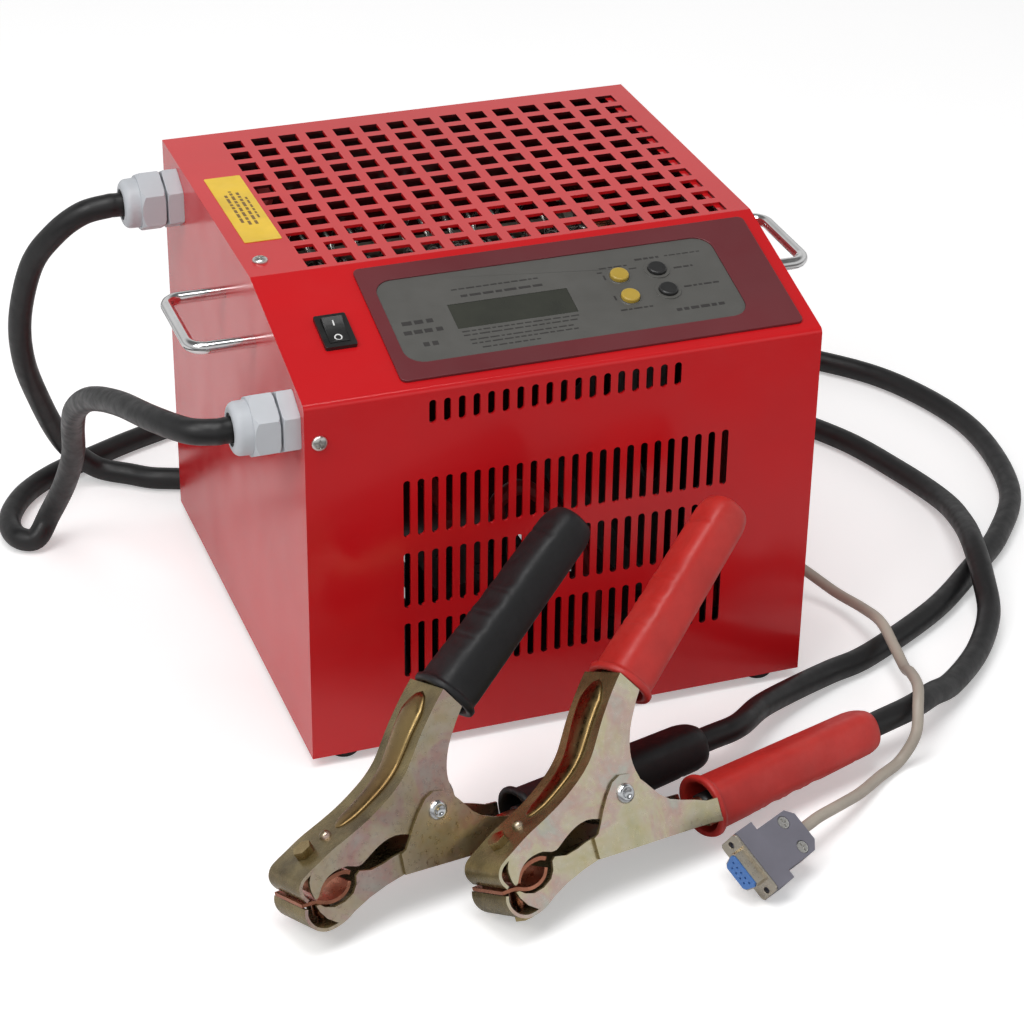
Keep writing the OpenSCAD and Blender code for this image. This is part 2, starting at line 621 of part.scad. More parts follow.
// Crimped lugs bolted to the webs of the two lower arms
lug_bolt_u = 31;
module lead_lugs() color([0.72, 0.45, 0.3]) for (clamp = [black, red]) place(clamp) {
    difference() {
        union() {
            translate([46.9, 0, -22.8]) rotate([0, -90, 0]) cylinder(d = 7.2, h = 9.9);
            across(-6, 6) polygon([[25.4, -24.4], [38.4, -26.7], [38.4, -24.9], [25.4, -22.8]]);
        }
        on_lower_web(lug_bolt_u) cylinder(d = 5.1, h = 20, center = true);
    }
    // head below the web, shank, and nut above the lug
    on_lower_web(lug_bolt_u) {
        translate([0, 0, -0.05]) mirror([0, 0, 1]) cylinder(d1 = 9, d2 = 6, h = 1.4);
        translate([0, 0, -0.1]) cylinder(d = 5, h = 7.6);
        translate([0, 0, 3.45]) cylinder(d = 8.4, h = 3, $fn = 6);
    }
}
// Frame on the outside of the lower arm's web at u, z into the clamp
module on_lower_web(u) translate([u, 0, -26.1 - (u - 26) * 0.1769])
    rotate([0, 10.03, 0]) children();

// ---------------------------------------------------------------- plug
pin_pitch = 2.77;
pin_row_z = 1.42;
jack_y = 12.5;
jack_bore = 3.1;
hood_screw_x = -26.5;
hood_screw_y = 6.8;
// Outlines [x, y] of the hood and of the room inside it
hood_line = [[-0.6, -15.4], [-0.6, 15.4], [-11.5, 15.4], [-11.5, 11.2], [-31, 11.2],
    [-35, 7.2], [-35, -7.2], [-31, -11.2], [-11.5, -11.2], [-11.5, -15.4]];
hood_room = [[1, -9.7], [1, 9.7], [-30, 9.7], [-33, 6.2], [-33, -6.2], [-30, -9.7]];
// D-shaped outline, wider at the top
function d_outline(w, h) = [
    [-w / 2 + 1.2, h / 2], [w / 2 - 1.2, h / 2], [w / 2, h / 2 - 1.6],
    [w / 2 - 1.5, -h / 2 + 1.4], [w / 2 - 2.9, -h / 2], [-w / 2 + 2.9, -h / 2],
    [-w / 2 + 1.5, -h / 2 + 1.4], [-w / 2, h / 2 - 1.6]];
module d_block(x, length, w, h)
    translate([x, 0, 0]) extrude_x(length) polygon(d_outline(w, h));

module hood_screw_places() for (y = [-hood_screw_y, hood_screw_y])
    translate([hood_screw_x, y, 0]) children();
module plug_hood() color([0.45, 0.44, 0.49]) in_plug() difference() {
    union() {
        difference() {
            translate([0, 0, -6.5]) linear_extrude(13) polygon(hood_line);
            translate([0, 0, -5]) linear_extrude(10) polygon(hood_room);
        }
        hood_screw_places() translate([0, 0, -5.5]) cylinder(d = 6, h = 11);
    }
    facing_x([-40, 0, 0]) cylinder(r = data_r + 0.05, h = 20);
    // recesses and bores of the two hood screws
    hood_screw_places() {
        translate([0, 0, 5]) cylinder(d = 6.4, h = 4);
        translate([0, 0, -6]) cylinder(d = 3.1, h = 14);
    }
    // jack screw bores in the two wings
    for (y = [-jack_y, jack_y]) facing_x([-13, y, 0]) cylinder(d = jack_bore, h = 14);
    // parting groove between the two halves
    for (y = [-20, 10.8]) translate([-40, y, -0.15]) cube([28, 9.2, 0.3]);
    translate([-40, -20, -0.15]) cube([5.5, 40, 0.3]);
}
module plug_shell() color([0.78, 0.76, 0.72]) in_plug() difference() {
    union() {
        translate([-0.6, 0, 0]) extrude_x(1.2)
            polygon(round_box([-15.4, -6.25, 15.4, 6.25], 2, 4));
        d_block(0, 6.4, 18.2, 9.6);
        d_block(-5, 5, 18.6, 9.8);
    }
    d_block(-6, 13, 17, 8.4);
    for (y = [-jack_y, jack_y]) facing_x([-2, y, 0]) cylinder(d = jack_bore, h = 4);
}
// Insert with a row of five holes over a row of four
module plug_insert() color([0.2, 0.36, 0.66]) in_plug() difference() {
    d_block(-5.4, 12.6, 16.9, 8.3);
    for (i = [-2:2]) pin_hole(i, pin_row_z);
    for (i = [-2:1]) pin_hole(i + 0.5, -pin_row_z);
}
module pin_hole(column, z)
    facing_x([2, column * pin_pitch, z]) cylinder(d = 1.2, h = 7, $fn = 16);
module plug_screws() color("silver") in_plug()
    hood_screw_places() translate([0, 0, 5]) difference() {
        union() {
            cylinder(d = 5.8, h = 1.3);
            translate([0, 0, -10.6]) cylinder(d = 3, h = 10.7);
        }
        translate([-2.1, -0.4, 0.6]) cube([4.2, 0.8, 2]);
        translate([-0.4, -2.1, 0.6]) cube([0.8, 4.2, 2]);
    }

// ---------------------------------------------------------------- clamps
// Outlines [u, v] in the clamp's plane: u towards the handles, v up, pivot at 0
// Back of the upper jaw, from the handle forwards, then round its nose
upper_back = [
    [17.6, 53.4], [8.4, 44.6], [-0.5, 34.5], [-6, 27.2], [-11, 20.8], [-17, 15.6],
    [-24, 11.3], [-33, 6.8], [-43, 3], [-53, -0.4], [-61.5, -4.2]];
upper_nose = [[-66.4, -6.4], [-70, -8.6], [-71.8, -12], [-71.4, -15.6], [-69.4, -18.8]];
// Open edge of the upper side plates, from the nose back to the handle
upper_edge = [
    [-64.9, -7.2], [-66.4, -10.4], [-66.4, -14.6], [-65.3, -18.4], [-63.6, -18.2],
    [-61.2, -14.2], [-57.8, -11.3], [-53.2, -9.7], [-47.5, -9.7], [-43.4, -11.3],
    [-40.6, -11.4], [-37.4, -9.8], [-33.6, -7.7], [-28, -5.4], [-22, -4.6], [-16, -6.2],
    [-9.6, -9.6], [-3, -11], [4, -10.2], [9, -6.5], [11, 0], [9.3, 7.6], [8.8, 13],
    [9.8, 19], [12.4, 25.8], [16, 31.8], [19.6, 37], [24.2, 42.6]];
// Back of the lower jaw, from the handle forwards, then round its nose
lower_back = [
    [46.6, -29.75], [39, -28.4], [26, -26.1], [14, -24.5], [0, -23.1],
    [-12, -22.4], [-20, -22.9], [-30, -24.6], [-40, -27.2], [-47.5, -30.2]];
lower_nose = [[-52, -32.6], [-57.4, -34.2], [-63, -34.3], [-67.8, -32], [-70.7, -28.2],
    [-71.6, -24.4], [-71, -21.4]];
// Front half of the lower side plates, up to the joggle
lower_front = [
    [-19.5, -22.9], [-30, -24.6], [-40, -27.2], [-47.5, -30.2], [-52, -32.4], [-57, -32.4],
    [-61.4, -29], [-64.4, -24.6], [-65.4, -21.6], [-63.8, -21.6], [-61.4, -23.6],
    [-57, -25.2], [-51.6, -24.6], [-47, -22.4], [-44.8, -19.2], [-44, -15.2],
    [-42.2, -13.9], [-36.4, -15.5], [-30.4, -14.9], [-24.8, -13.6], [-19.5, -13.1]];
// The joggle, where the plates step outwards, and the ears behind it
lower_joggle = [[-21.4, -22.9], [-21.4, -13.2], [-19.6, -13.1], [-19.6, -22.9]];
lower_ear = [
    [-21.4, -22.9], [-21.4, -13.2], [-18.8, -12], [-16.2, -8.2], [-13.4, -3.4], [-9.5, 1.9],
    [-5, 6.8], [-0.4, 8.6], [4.7, 7.4], [8.4, 4.6], [11.5, 0.9], [17.2, -6.7],
    [21.8, -10.5], [28, -13.2], [34.6, -15.5], [40.8, -18.2], [46.6, -18.9],
    [46.6, -29.75], [39, -28.4]];
// Contact strips, front to back
upper_strip = [[-63, -18.6], [-62, -16.4], [-60, -14], [-57, -12.3], [-53, -11.4],
    [-48.5, -11.5], [-45.4, -12.8]];
lower_strip = [[-71.3, -20.9], [-67.4, -21], [-63.8, -21.6], [-60.6, -23], [-56.6, -23.9],
    [-52, -23.3], [-48.2, -21], [-46.2, -17.6]];

// Play between the upper plates and the lower ears
ear_gap = 0.15;
jaw_half = jaw_w / 2;
ear_half = jaw_half + ear_gap + jaw_t;
contact_half = 12.3;
bolt_dia = 5;
bolt_bore = 5.2;
bolt_hex = 9.2;
spacer_dia = 8;
upper_bolt = [-58.8, -2.95];
upper_bolt_tilt = 24;
lower_bolt_u = -57;

// Extrude an outline of the clamp's plane across its width, from y0 to y1
module across(y0, y1) translate([0, y1, 0]) rotate([90, 0, 0])
    linear_extrude(y1 - y0) children();
// Two plates whose outer faces lie outer_half from the middle plane
module plate_pair(outer_half, thickness)
    for (y = [-outer_half, outer_half - thickness]) across(y, y + thickness) children();
module pivot_bore(dia)
    translate([0, -jaw_w, 0]) rotate([-90, 0, 0]) cylinder(d = dia, h = 2 * jaw_w);
// Frame of the upper contact's bolt, z out through the web
module on_upper_web() translate([upper_bolt[0], 0, upper_bolt[1]])
    rotate([0, -upper_bolt_tilt, 0]) children();
// Frame of a sleeve's axis: x into the sleeve, z across it, 0 at its mouth
module on_axis(axis) translate([axis[0][0], 0, axis[0][1]])
    rotate([0, -atan2(axis[1][1] - axis[0][1], axis[1][0] - axis[0][0]), 0]) children();

module upper_jaw() difference() {
    union() {
        difference() {
            union() {
                plate_pair(jaw_half, jaw_t)
                    polygon(concat(curve(upper_back, 3), curve(upper_edge, 2)));
                across(-jaw_half, jaw_half)
                    polygon(strip(curve(concat(upper_back, upper_nose), 3), jaw_t));
            }
            // trimmed square just short of the sleeve
            on_axis(up_axis) translate([-2.4, -20, -20]) cube(40);
        }
        upper_tongue();
        // dome rivet on the web
        translate([-48, 0, 1.3]) rotate([0, -20, 0]) rotate_extrude()
            polygon(concat([[0, -0.3], [2.7, -0.3]], arc([0, 0], 2.7, 0, 90, 5)));
    }
    pivot_bore(rivet_dia + 0.12);
    on_upper_web() translate([0, 0, -20]) cylinder(d = bolt_bore, h = 40);
    // the plates keep clear of the contact strip's bolt
    on_upper_web() translate([0, 0, -12]) cylinder(d = 9, h = 10.4);
}
// Narrow tongue of the upper jaw inside its sleeve: a U, open below
module upper_tongue() on_axis(up_axis) {
    difference() {
        translate([-8, -7.2, -4]) cube([62, 14.4, 11.2]);
        translate([-9, -5.7, -5]) cube([64, 11.4, 10.7]);
    }
    translate([-8, -7.2, 5.8]) cube([5.6, 14.4, 3.6]);
}
// Narrow tongue of the lower jaw inside its sleeve: a U, open above, under the lead
module lower_tongue() on_axis(low_axis) {
    difference() {
        translate([-4.6, -7.6, -7.6]) cube([34, 15.2, 8.6]);
        translate([-6, -6.1, -6.1]) cube([40, 12.2, 10]);
    }
    translate([-4.6, -6.1, -7]) cube([2.1, 12.2, 3.2]);
}
module lower_jaw() difference() {
    union() {
        plate_pair(jaw_half, jaw_t) polygon(lower_front);
        plate_pair(ear_half, jaw_t) polygon(lower_ear);
        plate_pair(ear_half, 2 * jaw_t + ear_gap) polygon(lower_joggle);
        // narrow web in front, wide web between the ears
        across(-jaw_half, jaw_half) polygon(strip(curve(concat(
            slice(lower_back, 5, len(lower_back) - 1), lower_nose), 3), -jaw_t));
        across(-ear_half, ear_half) polygon(strip(curve(slice(lower_back, 0, 6), 3), -jaw_t));
        lower_tongue();
    }
    pivot_bore(rivet_dia);
    // holes for the bolts of the lug and of the contact strip
    on_lower_web(lug_bolt_u) cylinder(d = 5.3, h = 10, center = true);
    translate([lower_bolt_u, 0, -40]) cylinder(d = bolt_bore, h = 10);
}
// Pivot rivet with a domed head at each end
module rivet() {
    translate([0, -ear_half, 0]) rotate([-90, 0, 0]) cylinder(d = rivet_dia, h = 2 * ear_half);
    for (side = [-1, 1]) translate([0, side * ear_half, 0]) rotate([-side * 90, 0, 0])
        rotate_extrude() polygon(concat([[0, 0], [4.6, 0], [4.6, 0.4], [4.3, 0.7]],
            [for (k = [1:5]) [4.3 * cos(k * 15), 0.7 + 1.6 * sin(k * 15)]], [[0, 2.3]]));
}

// Torsion spring round the rivet; legs bear on the insides of both handles
spring_r = 13.4;
spring_half = 9.2;
spring_turns = 4;
spring_steps = 52;
// Ends of the legs, [u, v]
upper_leg = [6.5, 37.3];
lower_leg = [33, -24.1];
// Angle at which a leg leaves the coil as a tangent
function leg_angle(end, side) = atan2(end[1], end[0]) + side * acos(spring_r / norm(end));
// End of a leg at height y, and the point halfway from it to the coil
function leg_end(end, y) = [end[0], y, end[1]];
function leg_middle(end, coil_end, y) =
    [(end[0] + coil_end[0]) / 2, y, (end[1] + coil_end[2]) / 2];
module spring() {
    start = leg_angle(lower_leg, -1);
    turn = leg_angle(upper_leg, 1) - 360 * spring_turns - start;
    coil = [for (i = [0:spring_steps]) let (a = start + turn * i / spring_steps)
        [spring_r * cos(a), -spring_half + 2 * spring_half * i / spring_steps,
         spring_r * sin(a)]];
    sweep(concat(
        [leg_end(lower_leg, -spring_half), leg_middle(lower_leg, coil[0], -spring_half)],
        coil,
        [leg_middle(upper_leg, coil[spring_steps], spring_half),
         leg_end(upper_leg, spring_half)]), spring_wire / 2, 6);
}
// Moulded grip: flanged mouth, slow taper with three ribs, rounded tip with a hole
module sleeve(axis, hole_r) {
    along = axis[1] - axis[0];
    length = norm(along) + 2;
    translate([axis[0][0], 0, axis[0][1]]) rotate([0, 90 - atan2(along[1], along[0]), 0])
        rotate_extrude() polygon(concat(
            [[12.4, -2], [14.4, -2], [15.2, -1.4], [15.2, 0.4], [14.4, 1.2], [12.8, 1.6]],
            [for (k = [1:3]) each let (z = 12 + k * 13, r = 12.8 - 2.2 * z / length)
                [[r, z - 0.9], [r + 0.35, z - 0.3], [r + 0.35, z + 0.3], [r, z + 0.9]]],
            arc([10.6 - 3, length - 3], 3, 0, 90, 6),
            [[hole_r, length], [hole_r, length - 4], [9.4, length - 4], [11.3, 8], [11.8, 4]]));
}
module upper_sleeve() sleeve(up_axis, 0);
module lower_sleeve() sleeve(low_axis, lead_r + 0.03);
module upper_contact() {
    difference() {
        union() {
            across(-contact_half, contact_half) polygon(strip(curve(upper_strip, 3), -1.8));
            on_upper_web() translate([0, 0, -9.6]) cylinder(d = spacer_dia, h = 8);
        }
        on_upper_web() translate([0, 0, -30]) cylinder(d = bolt_dia, h = 40);
    }
    // bolt through the web
    on_upper_web() {
        translate([0, 0, -8.6]) cylinder(d = bolt_dia, h = 9);
        translate([0, 0, 0.1]) cylinder(d = bolt_hex, h = 3.6, $fn = 6);
    }
}
module lower_contact() {
    across(-contact_half, contact_half) polygon(strip(curve(lower_strip, 3), 1.6));
    // spacer and bolt through the web below
    translate([lower_bolt_u, 0, -31.1]) cylinder(d = spacer_dia, h = 7.6);
    translate([lower_bolt_u, 0, -36]) cylinder(d = bolt_dia, h = 6);
    translate([lower_bolt_u, 0, -37.85]) cylinder(d = bolt_hex, h = 3.2, $fn = 6);
}

module black_lower_jaw() color(jaw_brass) place(black) lower_jaw();
module red_lower_jaw() color(jaw_brass) place(red) lower_jaw();
module black_upper_jaw() color(jaw_brass) place(black) upper_jaw();
module red_upper_jaw() color(jaw_brass) place(red) upper_jaw();
module black_rivet() color("silver") place(black) rivet();
module red_rivet() color("silver") place(red) rivet();
module black_spring() color(spring_grey) place(black) spring();
module red_spring() color(spring_grey) place(red) spring();
module black_upper_sleeve() color(sleeve_black) place(black) upper_sleeve();
module red_upper_sleeve() color(sleeve_red) place(red) upper_sleeve();
module black_lower_sleeve() color(sleeve_black) place(black) lower_sleeve();
module red_lower_sleeve() color(sleeve_red) place(red) lower_sleeve();
module black_lower_contact() color(contact_copper) place(black) lower_contact();
module red_lower_contact() color(contact_copper) place(red) lower_contact();
module black_upper_contact() color(contact_copper) place(black) upper_contact();
module red_upper_contact() color(contact_copper) place(red) upper_contact();

// ---------------------------------------------------------------- inside
coil_y = [105, 145, 185, 225];
coil_z = 150;
coil_x = [48, case_w - 48];
coil_r = 15;
coil_turns = 12;
// Coil wire ends and rod ends, from each side of the casing
coil_end = 34.1;
rod_end = 31;
stud_bore = 4.96;
// Bracket and bus bar are bolted together here, [y] and z
bar_bolt_y = [125, 205];
bar_bolt_z = 154;
// Bus bar's hole for an internal lead, [y, z]
bar_lead = [68, 165];
contactor_h = 62;
stud_h = 14;
stud_x = [84, 110];
stud_y = 53;
shunt_x = [150, 210];
shunt_block_h = 14;
shunt_t = 4;
// Lead ends stop just above the studs and the shunt
stud_lead_z = sheet + contactor_h + stud_h + 0.2;
shunt_lead_z = sheet + shunt_block_h + shunt_t + 0.2;
// Routes of the internal leads, [x, y, z]
internal_routes = [
    // from the rear gland along the left bus bar
    [[26.4, 228, 192], [29.2, 228, 192], [32, 228, 192], [40, 223, 192.4],
     [41, 212, 192.8], [33, 192, 192.6], [22, 150, 190], [18, 95, 178], [20, 74, 170],
     [24.6, 68, 165], [27.6, 68, 165], [30.6, 68, 165]],
    // from the front gland to the contactor's left stud
    [[26.4, 18, 172], [29.2, 18, 172], [32, 18, 172], [42, 20, 166], [60, 27, 138],
     [76, 44, 104], [84, 53, 90], [84, 53, 84], [84, 53, stud_lead_z]],
    // contactor to shunt
    [[110, 53, stud_lead_z], [110, 53, 84], [110, 53, 92], [124, 50, 98], [146, 42, 72],
     [156, 40, 40], [156, 40, 30], [156, 40, shunt_lead_z]],
    // shunt to the right bus bar
    [[220, 40, shunt_lead_z], [220, 40, 30], [220, 40, 40], [226, 46, 90], [230, 60, 140],
     [226, 68, 165], [222.5, 68, 165], [219.4, 68, 165]]];

module load_coils() color([0.7, 0.68, 0.65]) in_case() for (y = coil_y) {
    steps = coil_turns * 9;
    helix = [for (i = [0:steps]) let (a = 90 + 360 * coil_turns * i / steps)
        [coil_x[0] + (coil_x[1] - coil_x[0]) * i / steps,
         y + coil_r * cos(a), coil_z + coil_r * sin(a)]];
    sweep(concat([[coil_end, y, coil_z + coil_r]], helix,
        [[case_w - coil_end, y, coil_z + coil_r]]), 1.6, 4);
}
module coil_brackets() color([0.7, 0.7, 0.7]) in_case() both_sides() difference() {
    union() {
        translate([38, 88, sheet]) cube([2, 154, 158]);
        translate([38, 88, sheet]) cube([16, 154, 2]);
    }
    for (y = coil_y) facing_x([36, y, coil_z]) cylinder(d = 9, h = 6);
    for (y = bar_bolt_y) facing_x([36, y, bar_bolt_z]) cylinder(d = 4.2, h = 6);
    for (y = [110, 165, 220]) facing_x([36, y, 75]) cylinder(d = 36, h = 6);
}
// Ceramic tubes with two collars, on studs with a nut at each end
module coil_rods() color([0.88, 0.85, 0.78]) in_case()
    for (y = coil_y) facing_x([0, y, coil_z]) {
        difference() {
            union() {
                translate([0, 0, 35]) cylinder(d = 8.9, h = case_w - 70);
                for (z = [40.05, case_w - 45.05]) translate([0, 0, z]) cylinder(d = 16, h = 5);
            }
            translate([0, 0, 30]) cylinder(d = 5, h = case_w - 60);
        }
        translate([0, 0, rod_end]) cylinder(d = stud_bore, h = case_w - 2 * rod_end);
        for (z = [rod_end, case_w - rod_end - 3.95]) translate([0, 0, z]) difference() {
            cylinder(d = 8.6, h = 3.95, $fn = 6);
            translate([0, 0, -1]) cylinder(d = stud_bore, h = 6);
        }
    }
module bus_bars() color([0.75, 0.45, 0.28]) in_case() both_sides() {
    difference() {
        translate([30.9, 60, 156]) cube([3, 182, 18]);
        facing_x([20, bar_lead[0], bar_lead[1]]) cylinder(d = 8.2, h = 20);
    }
    // spacers with pins into the bracket
    for (y = bar_bolt_y) facing_x([33.92, y, bar_bolt_z]) {
        cylinder(d = 9, h = 4.06);
        cylinder(d = 4.1, h = 8);
    }
}
module contactor() color([0.12, 0.12, 0.13]) in_case() {
    translate([70, 30, sheet]) cube([54, 46, contactor_h]);
    for (x = stud_x) translate([x, stud_y, sheet + contactor_h]) cylinder(d = 8, h = stud_h);
    // shunt on two insulating blocks
    for (x = shunt_x) translate([x, 30, sheet]) cube([16, 20, shunt_block_h]);
    translate([146, 33, sheet + shunt_block_h]) cube([84, 14, shunt_t]);
}
module internal_leads() color([0.5, 0.1, 0.1]) in_case()
    for (route = internal_routes) sweep(curve(route, 4), 4, 8);

base_plate();
side_panel_left();
side_panel_right();
front_cover();
rear_panel();
cover_screws();
feet();
foot_screws();
panel_bezel();
face_plate();
display_window();
display_module();
control_board();
board_standoffs();
key_switches();
button_yellow_upper();
button_yellow_lower();
button_black_upper();
button_black_lower();
rocker_housing();
rocker_paddle();
warning_label();
handle_left();
handle_right();
handle_screws();
gland_bodies();
gland_nuts();
gland_seals();
gland_locknuts();
power_lead_rear();
power_lead_front();
lead_lugs();
data_lead();
data_grommet();
plug_hood();
plug_shell();
plug_insert();
plug_screws();
black_lower_jaw();
black_upper_jaw();
black_rivet();
black_spring();
black_upper_sleeve();
black_lower_sleeve();
black_lower_contact();
black_upper_contact();
red_lower_jaw();
red_upper_jaw();
red_rivet();
red_spring();
red_upper_sleeve();
red_lower_sleeve();
red_lower_contact();
red_upper_contact();
load_coils();
coil_brackets();
coil_rods();
bus_bars();
contactor();
internal_leads();
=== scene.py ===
"""Battery load tester: a casing with a sloped control panel, two power leads that end in
spring clamps (black and red), and a data lead with its plug.

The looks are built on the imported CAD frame, in metres, in the row frame, +Z up. Shapes are given
in casing millimetres: from the casing's front bottom left corner, x to the right, y to the rear
and z up. The clamps lie on the floor in front of the casing.
"""
import json
import math
import random

import bmesh
import bpy
from mathutils import Matrix, Vector
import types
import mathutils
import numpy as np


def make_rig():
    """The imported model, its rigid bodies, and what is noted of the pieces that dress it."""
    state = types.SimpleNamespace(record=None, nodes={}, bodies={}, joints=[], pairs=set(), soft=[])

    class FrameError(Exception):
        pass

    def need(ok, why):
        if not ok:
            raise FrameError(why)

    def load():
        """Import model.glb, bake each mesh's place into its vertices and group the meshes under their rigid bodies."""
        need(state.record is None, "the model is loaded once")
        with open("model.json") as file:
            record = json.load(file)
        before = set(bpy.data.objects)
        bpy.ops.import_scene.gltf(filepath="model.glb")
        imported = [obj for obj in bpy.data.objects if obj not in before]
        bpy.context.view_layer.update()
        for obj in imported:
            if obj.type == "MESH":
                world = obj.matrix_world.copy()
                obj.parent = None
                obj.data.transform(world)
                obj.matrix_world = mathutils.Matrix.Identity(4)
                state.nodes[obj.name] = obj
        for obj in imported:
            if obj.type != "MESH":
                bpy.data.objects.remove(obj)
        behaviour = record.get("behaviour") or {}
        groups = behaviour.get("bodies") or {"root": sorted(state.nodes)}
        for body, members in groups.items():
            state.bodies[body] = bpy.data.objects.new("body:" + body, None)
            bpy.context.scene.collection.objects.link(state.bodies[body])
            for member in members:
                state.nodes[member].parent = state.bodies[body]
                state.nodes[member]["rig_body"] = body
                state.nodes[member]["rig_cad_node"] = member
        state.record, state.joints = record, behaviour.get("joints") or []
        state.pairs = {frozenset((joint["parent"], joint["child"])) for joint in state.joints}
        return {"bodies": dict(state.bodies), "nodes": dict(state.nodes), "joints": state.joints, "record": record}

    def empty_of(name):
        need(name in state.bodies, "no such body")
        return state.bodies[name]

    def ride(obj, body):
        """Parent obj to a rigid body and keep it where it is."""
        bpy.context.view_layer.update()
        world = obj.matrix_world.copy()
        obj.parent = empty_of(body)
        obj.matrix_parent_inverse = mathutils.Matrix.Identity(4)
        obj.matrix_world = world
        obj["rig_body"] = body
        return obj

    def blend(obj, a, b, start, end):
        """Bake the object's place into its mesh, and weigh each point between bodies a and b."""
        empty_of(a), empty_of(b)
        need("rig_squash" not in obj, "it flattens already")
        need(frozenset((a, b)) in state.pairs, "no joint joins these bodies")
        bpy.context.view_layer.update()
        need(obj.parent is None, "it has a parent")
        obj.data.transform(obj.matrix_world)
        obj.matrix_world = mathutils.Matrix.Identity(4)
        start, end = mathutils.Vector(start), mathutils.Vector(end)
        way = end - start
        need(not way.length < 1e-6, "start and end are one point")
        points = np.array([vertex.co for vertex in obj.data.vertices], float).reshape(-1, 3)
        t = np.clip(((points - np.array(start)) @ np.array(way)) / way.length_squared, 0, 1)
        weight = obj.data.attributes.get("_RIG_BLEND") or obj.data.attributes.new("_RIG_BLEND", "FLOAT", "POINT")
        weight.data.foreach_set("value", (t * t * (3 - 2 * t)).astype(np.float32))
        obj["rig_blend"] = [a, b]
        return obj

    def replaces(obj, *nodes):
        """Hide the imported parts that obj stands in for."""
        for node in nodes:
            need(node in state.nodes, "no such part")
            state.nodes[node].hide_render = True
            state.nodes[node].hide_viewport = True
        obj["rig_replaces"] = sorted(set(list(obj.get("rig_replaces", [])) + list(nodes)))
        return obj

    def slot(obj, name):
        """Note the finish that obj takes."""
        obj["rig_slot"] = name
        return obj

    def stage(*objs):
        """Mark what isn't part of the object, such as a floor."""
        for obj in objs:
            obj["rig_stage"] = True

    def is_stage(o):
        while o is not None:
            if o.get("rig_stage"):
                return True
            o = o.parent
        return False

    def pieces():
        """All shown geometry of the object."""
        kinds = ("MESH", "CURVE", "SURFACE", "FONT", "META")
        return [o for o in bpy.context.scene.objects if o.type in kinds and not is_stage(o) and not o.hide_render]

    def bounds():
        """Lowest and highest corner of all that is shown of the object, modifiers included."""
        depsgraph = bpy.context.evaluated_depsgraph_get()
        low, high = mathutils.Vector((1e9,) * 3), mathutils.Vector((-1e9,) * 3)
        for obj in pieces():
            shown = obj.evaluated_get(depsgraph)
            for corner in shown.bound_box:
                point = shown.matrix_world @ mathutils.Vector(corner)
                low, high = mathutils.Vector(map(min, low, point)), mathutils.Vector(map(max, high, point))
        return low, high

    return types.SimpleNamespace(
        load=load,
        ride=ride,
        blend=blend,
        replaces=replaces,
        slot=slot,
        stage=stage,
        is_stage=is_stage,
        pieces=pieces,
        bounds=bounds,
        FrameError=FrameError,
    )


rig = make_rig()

random.seed(7)
bpy.context.preferences.edit.use_global_undo = False
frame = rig.load()
CAD_BOX = [list(v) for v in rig.bounds()]
NODES = frame["nodes"]
SLOTS = {s["node"]: s["material_slot"] for s in frame["record"]["subparts"]}

MM = 0.001
CORNER = (-0.177, -0.105, 0.005)  # the casing's corner in the row frame, metres
ORIGIN = Vector(CORNER)
CASING_MIDDLE = (125, 129, 105)
FLOOR_Z = -5


def place(point):
    """Casing millimetres to the row frame."""
    return ORIGIN + Vector(point) * MM


class Clamp:
    """Frame of one clamp, from its pivot: u along the jaw, v across it, n out of its plane."""

    def __init__(self, colour, pivot, heading, lean):
        turn, tip = math.radians(heading), math.radians(lean)
        self.colour = colour
        self.pivot = Vector(pivot)
        self.along = Vector((math.cos(turn), math.sin(turn), 0))
        self.out = Vector((-math.sin(turn) * math.cos(tip), math.cos(turn) * math.cos(tip),
                           -math.sin(tip)))
        self.across = Vector((-math.sin(turn) * math.sin(tip), math.cos(turn) * math.sin(tip),
                              math.cos(tip)))

    def at(self, u, v, n=0.0):
        """A point of the clamp in casing millimetres."""
        return self.pivot + u * self.along + v * self.across + n * self.out

    def place(self, u, v, n=0.0):
        """A point of the clamp in the row frame."""
        return place(self.at(u, v, n))


BLACK = Clamp("black", (22, -95, 34.9), heading=15, lean=19)
RED = Clamp("red", (103.5, -111.2, 33.4), heading=17, lean=27)
CLAMPS = (BLACK, RED)


# ------------------------------------------------------------------ shader helpers
MATS = {}


def is_socket(value):
    return hasattr(value, "is_linked")


def feed(tree, value, socket):
    """Links an output to the socket, or sets the socket's value."""
    if is_socket(value):
        tree.links.new(value, socket)
    else:
        socket.default_value = value


def add(tree, kind, inputs=(), **settings):
    """New shader node with its settings made and its inputs fed."""
    node = tree.nodes.new("ShaderNode" + kind)
    for key, value in settings.items():
        setattr(node, key, value)
    for key, value in dict(inputs).items():
        feed(tree, value, node.inputs[key])
    return node


def add_ramp(tree, fac, stops):
    """Colour ramp; stops are (position, (r, g, b))."""
    node = add(tree, "ValToRGB", {"Fac": fac})
    elements = node.color_ramp.elements
    while len(elements) < len(stops):
        elements.new(0.5)
    for element, (position, colour) in zip(elements, stops):
        element.position = position
        element.color = (*colour, 1)
    return node.outputs["Color"]


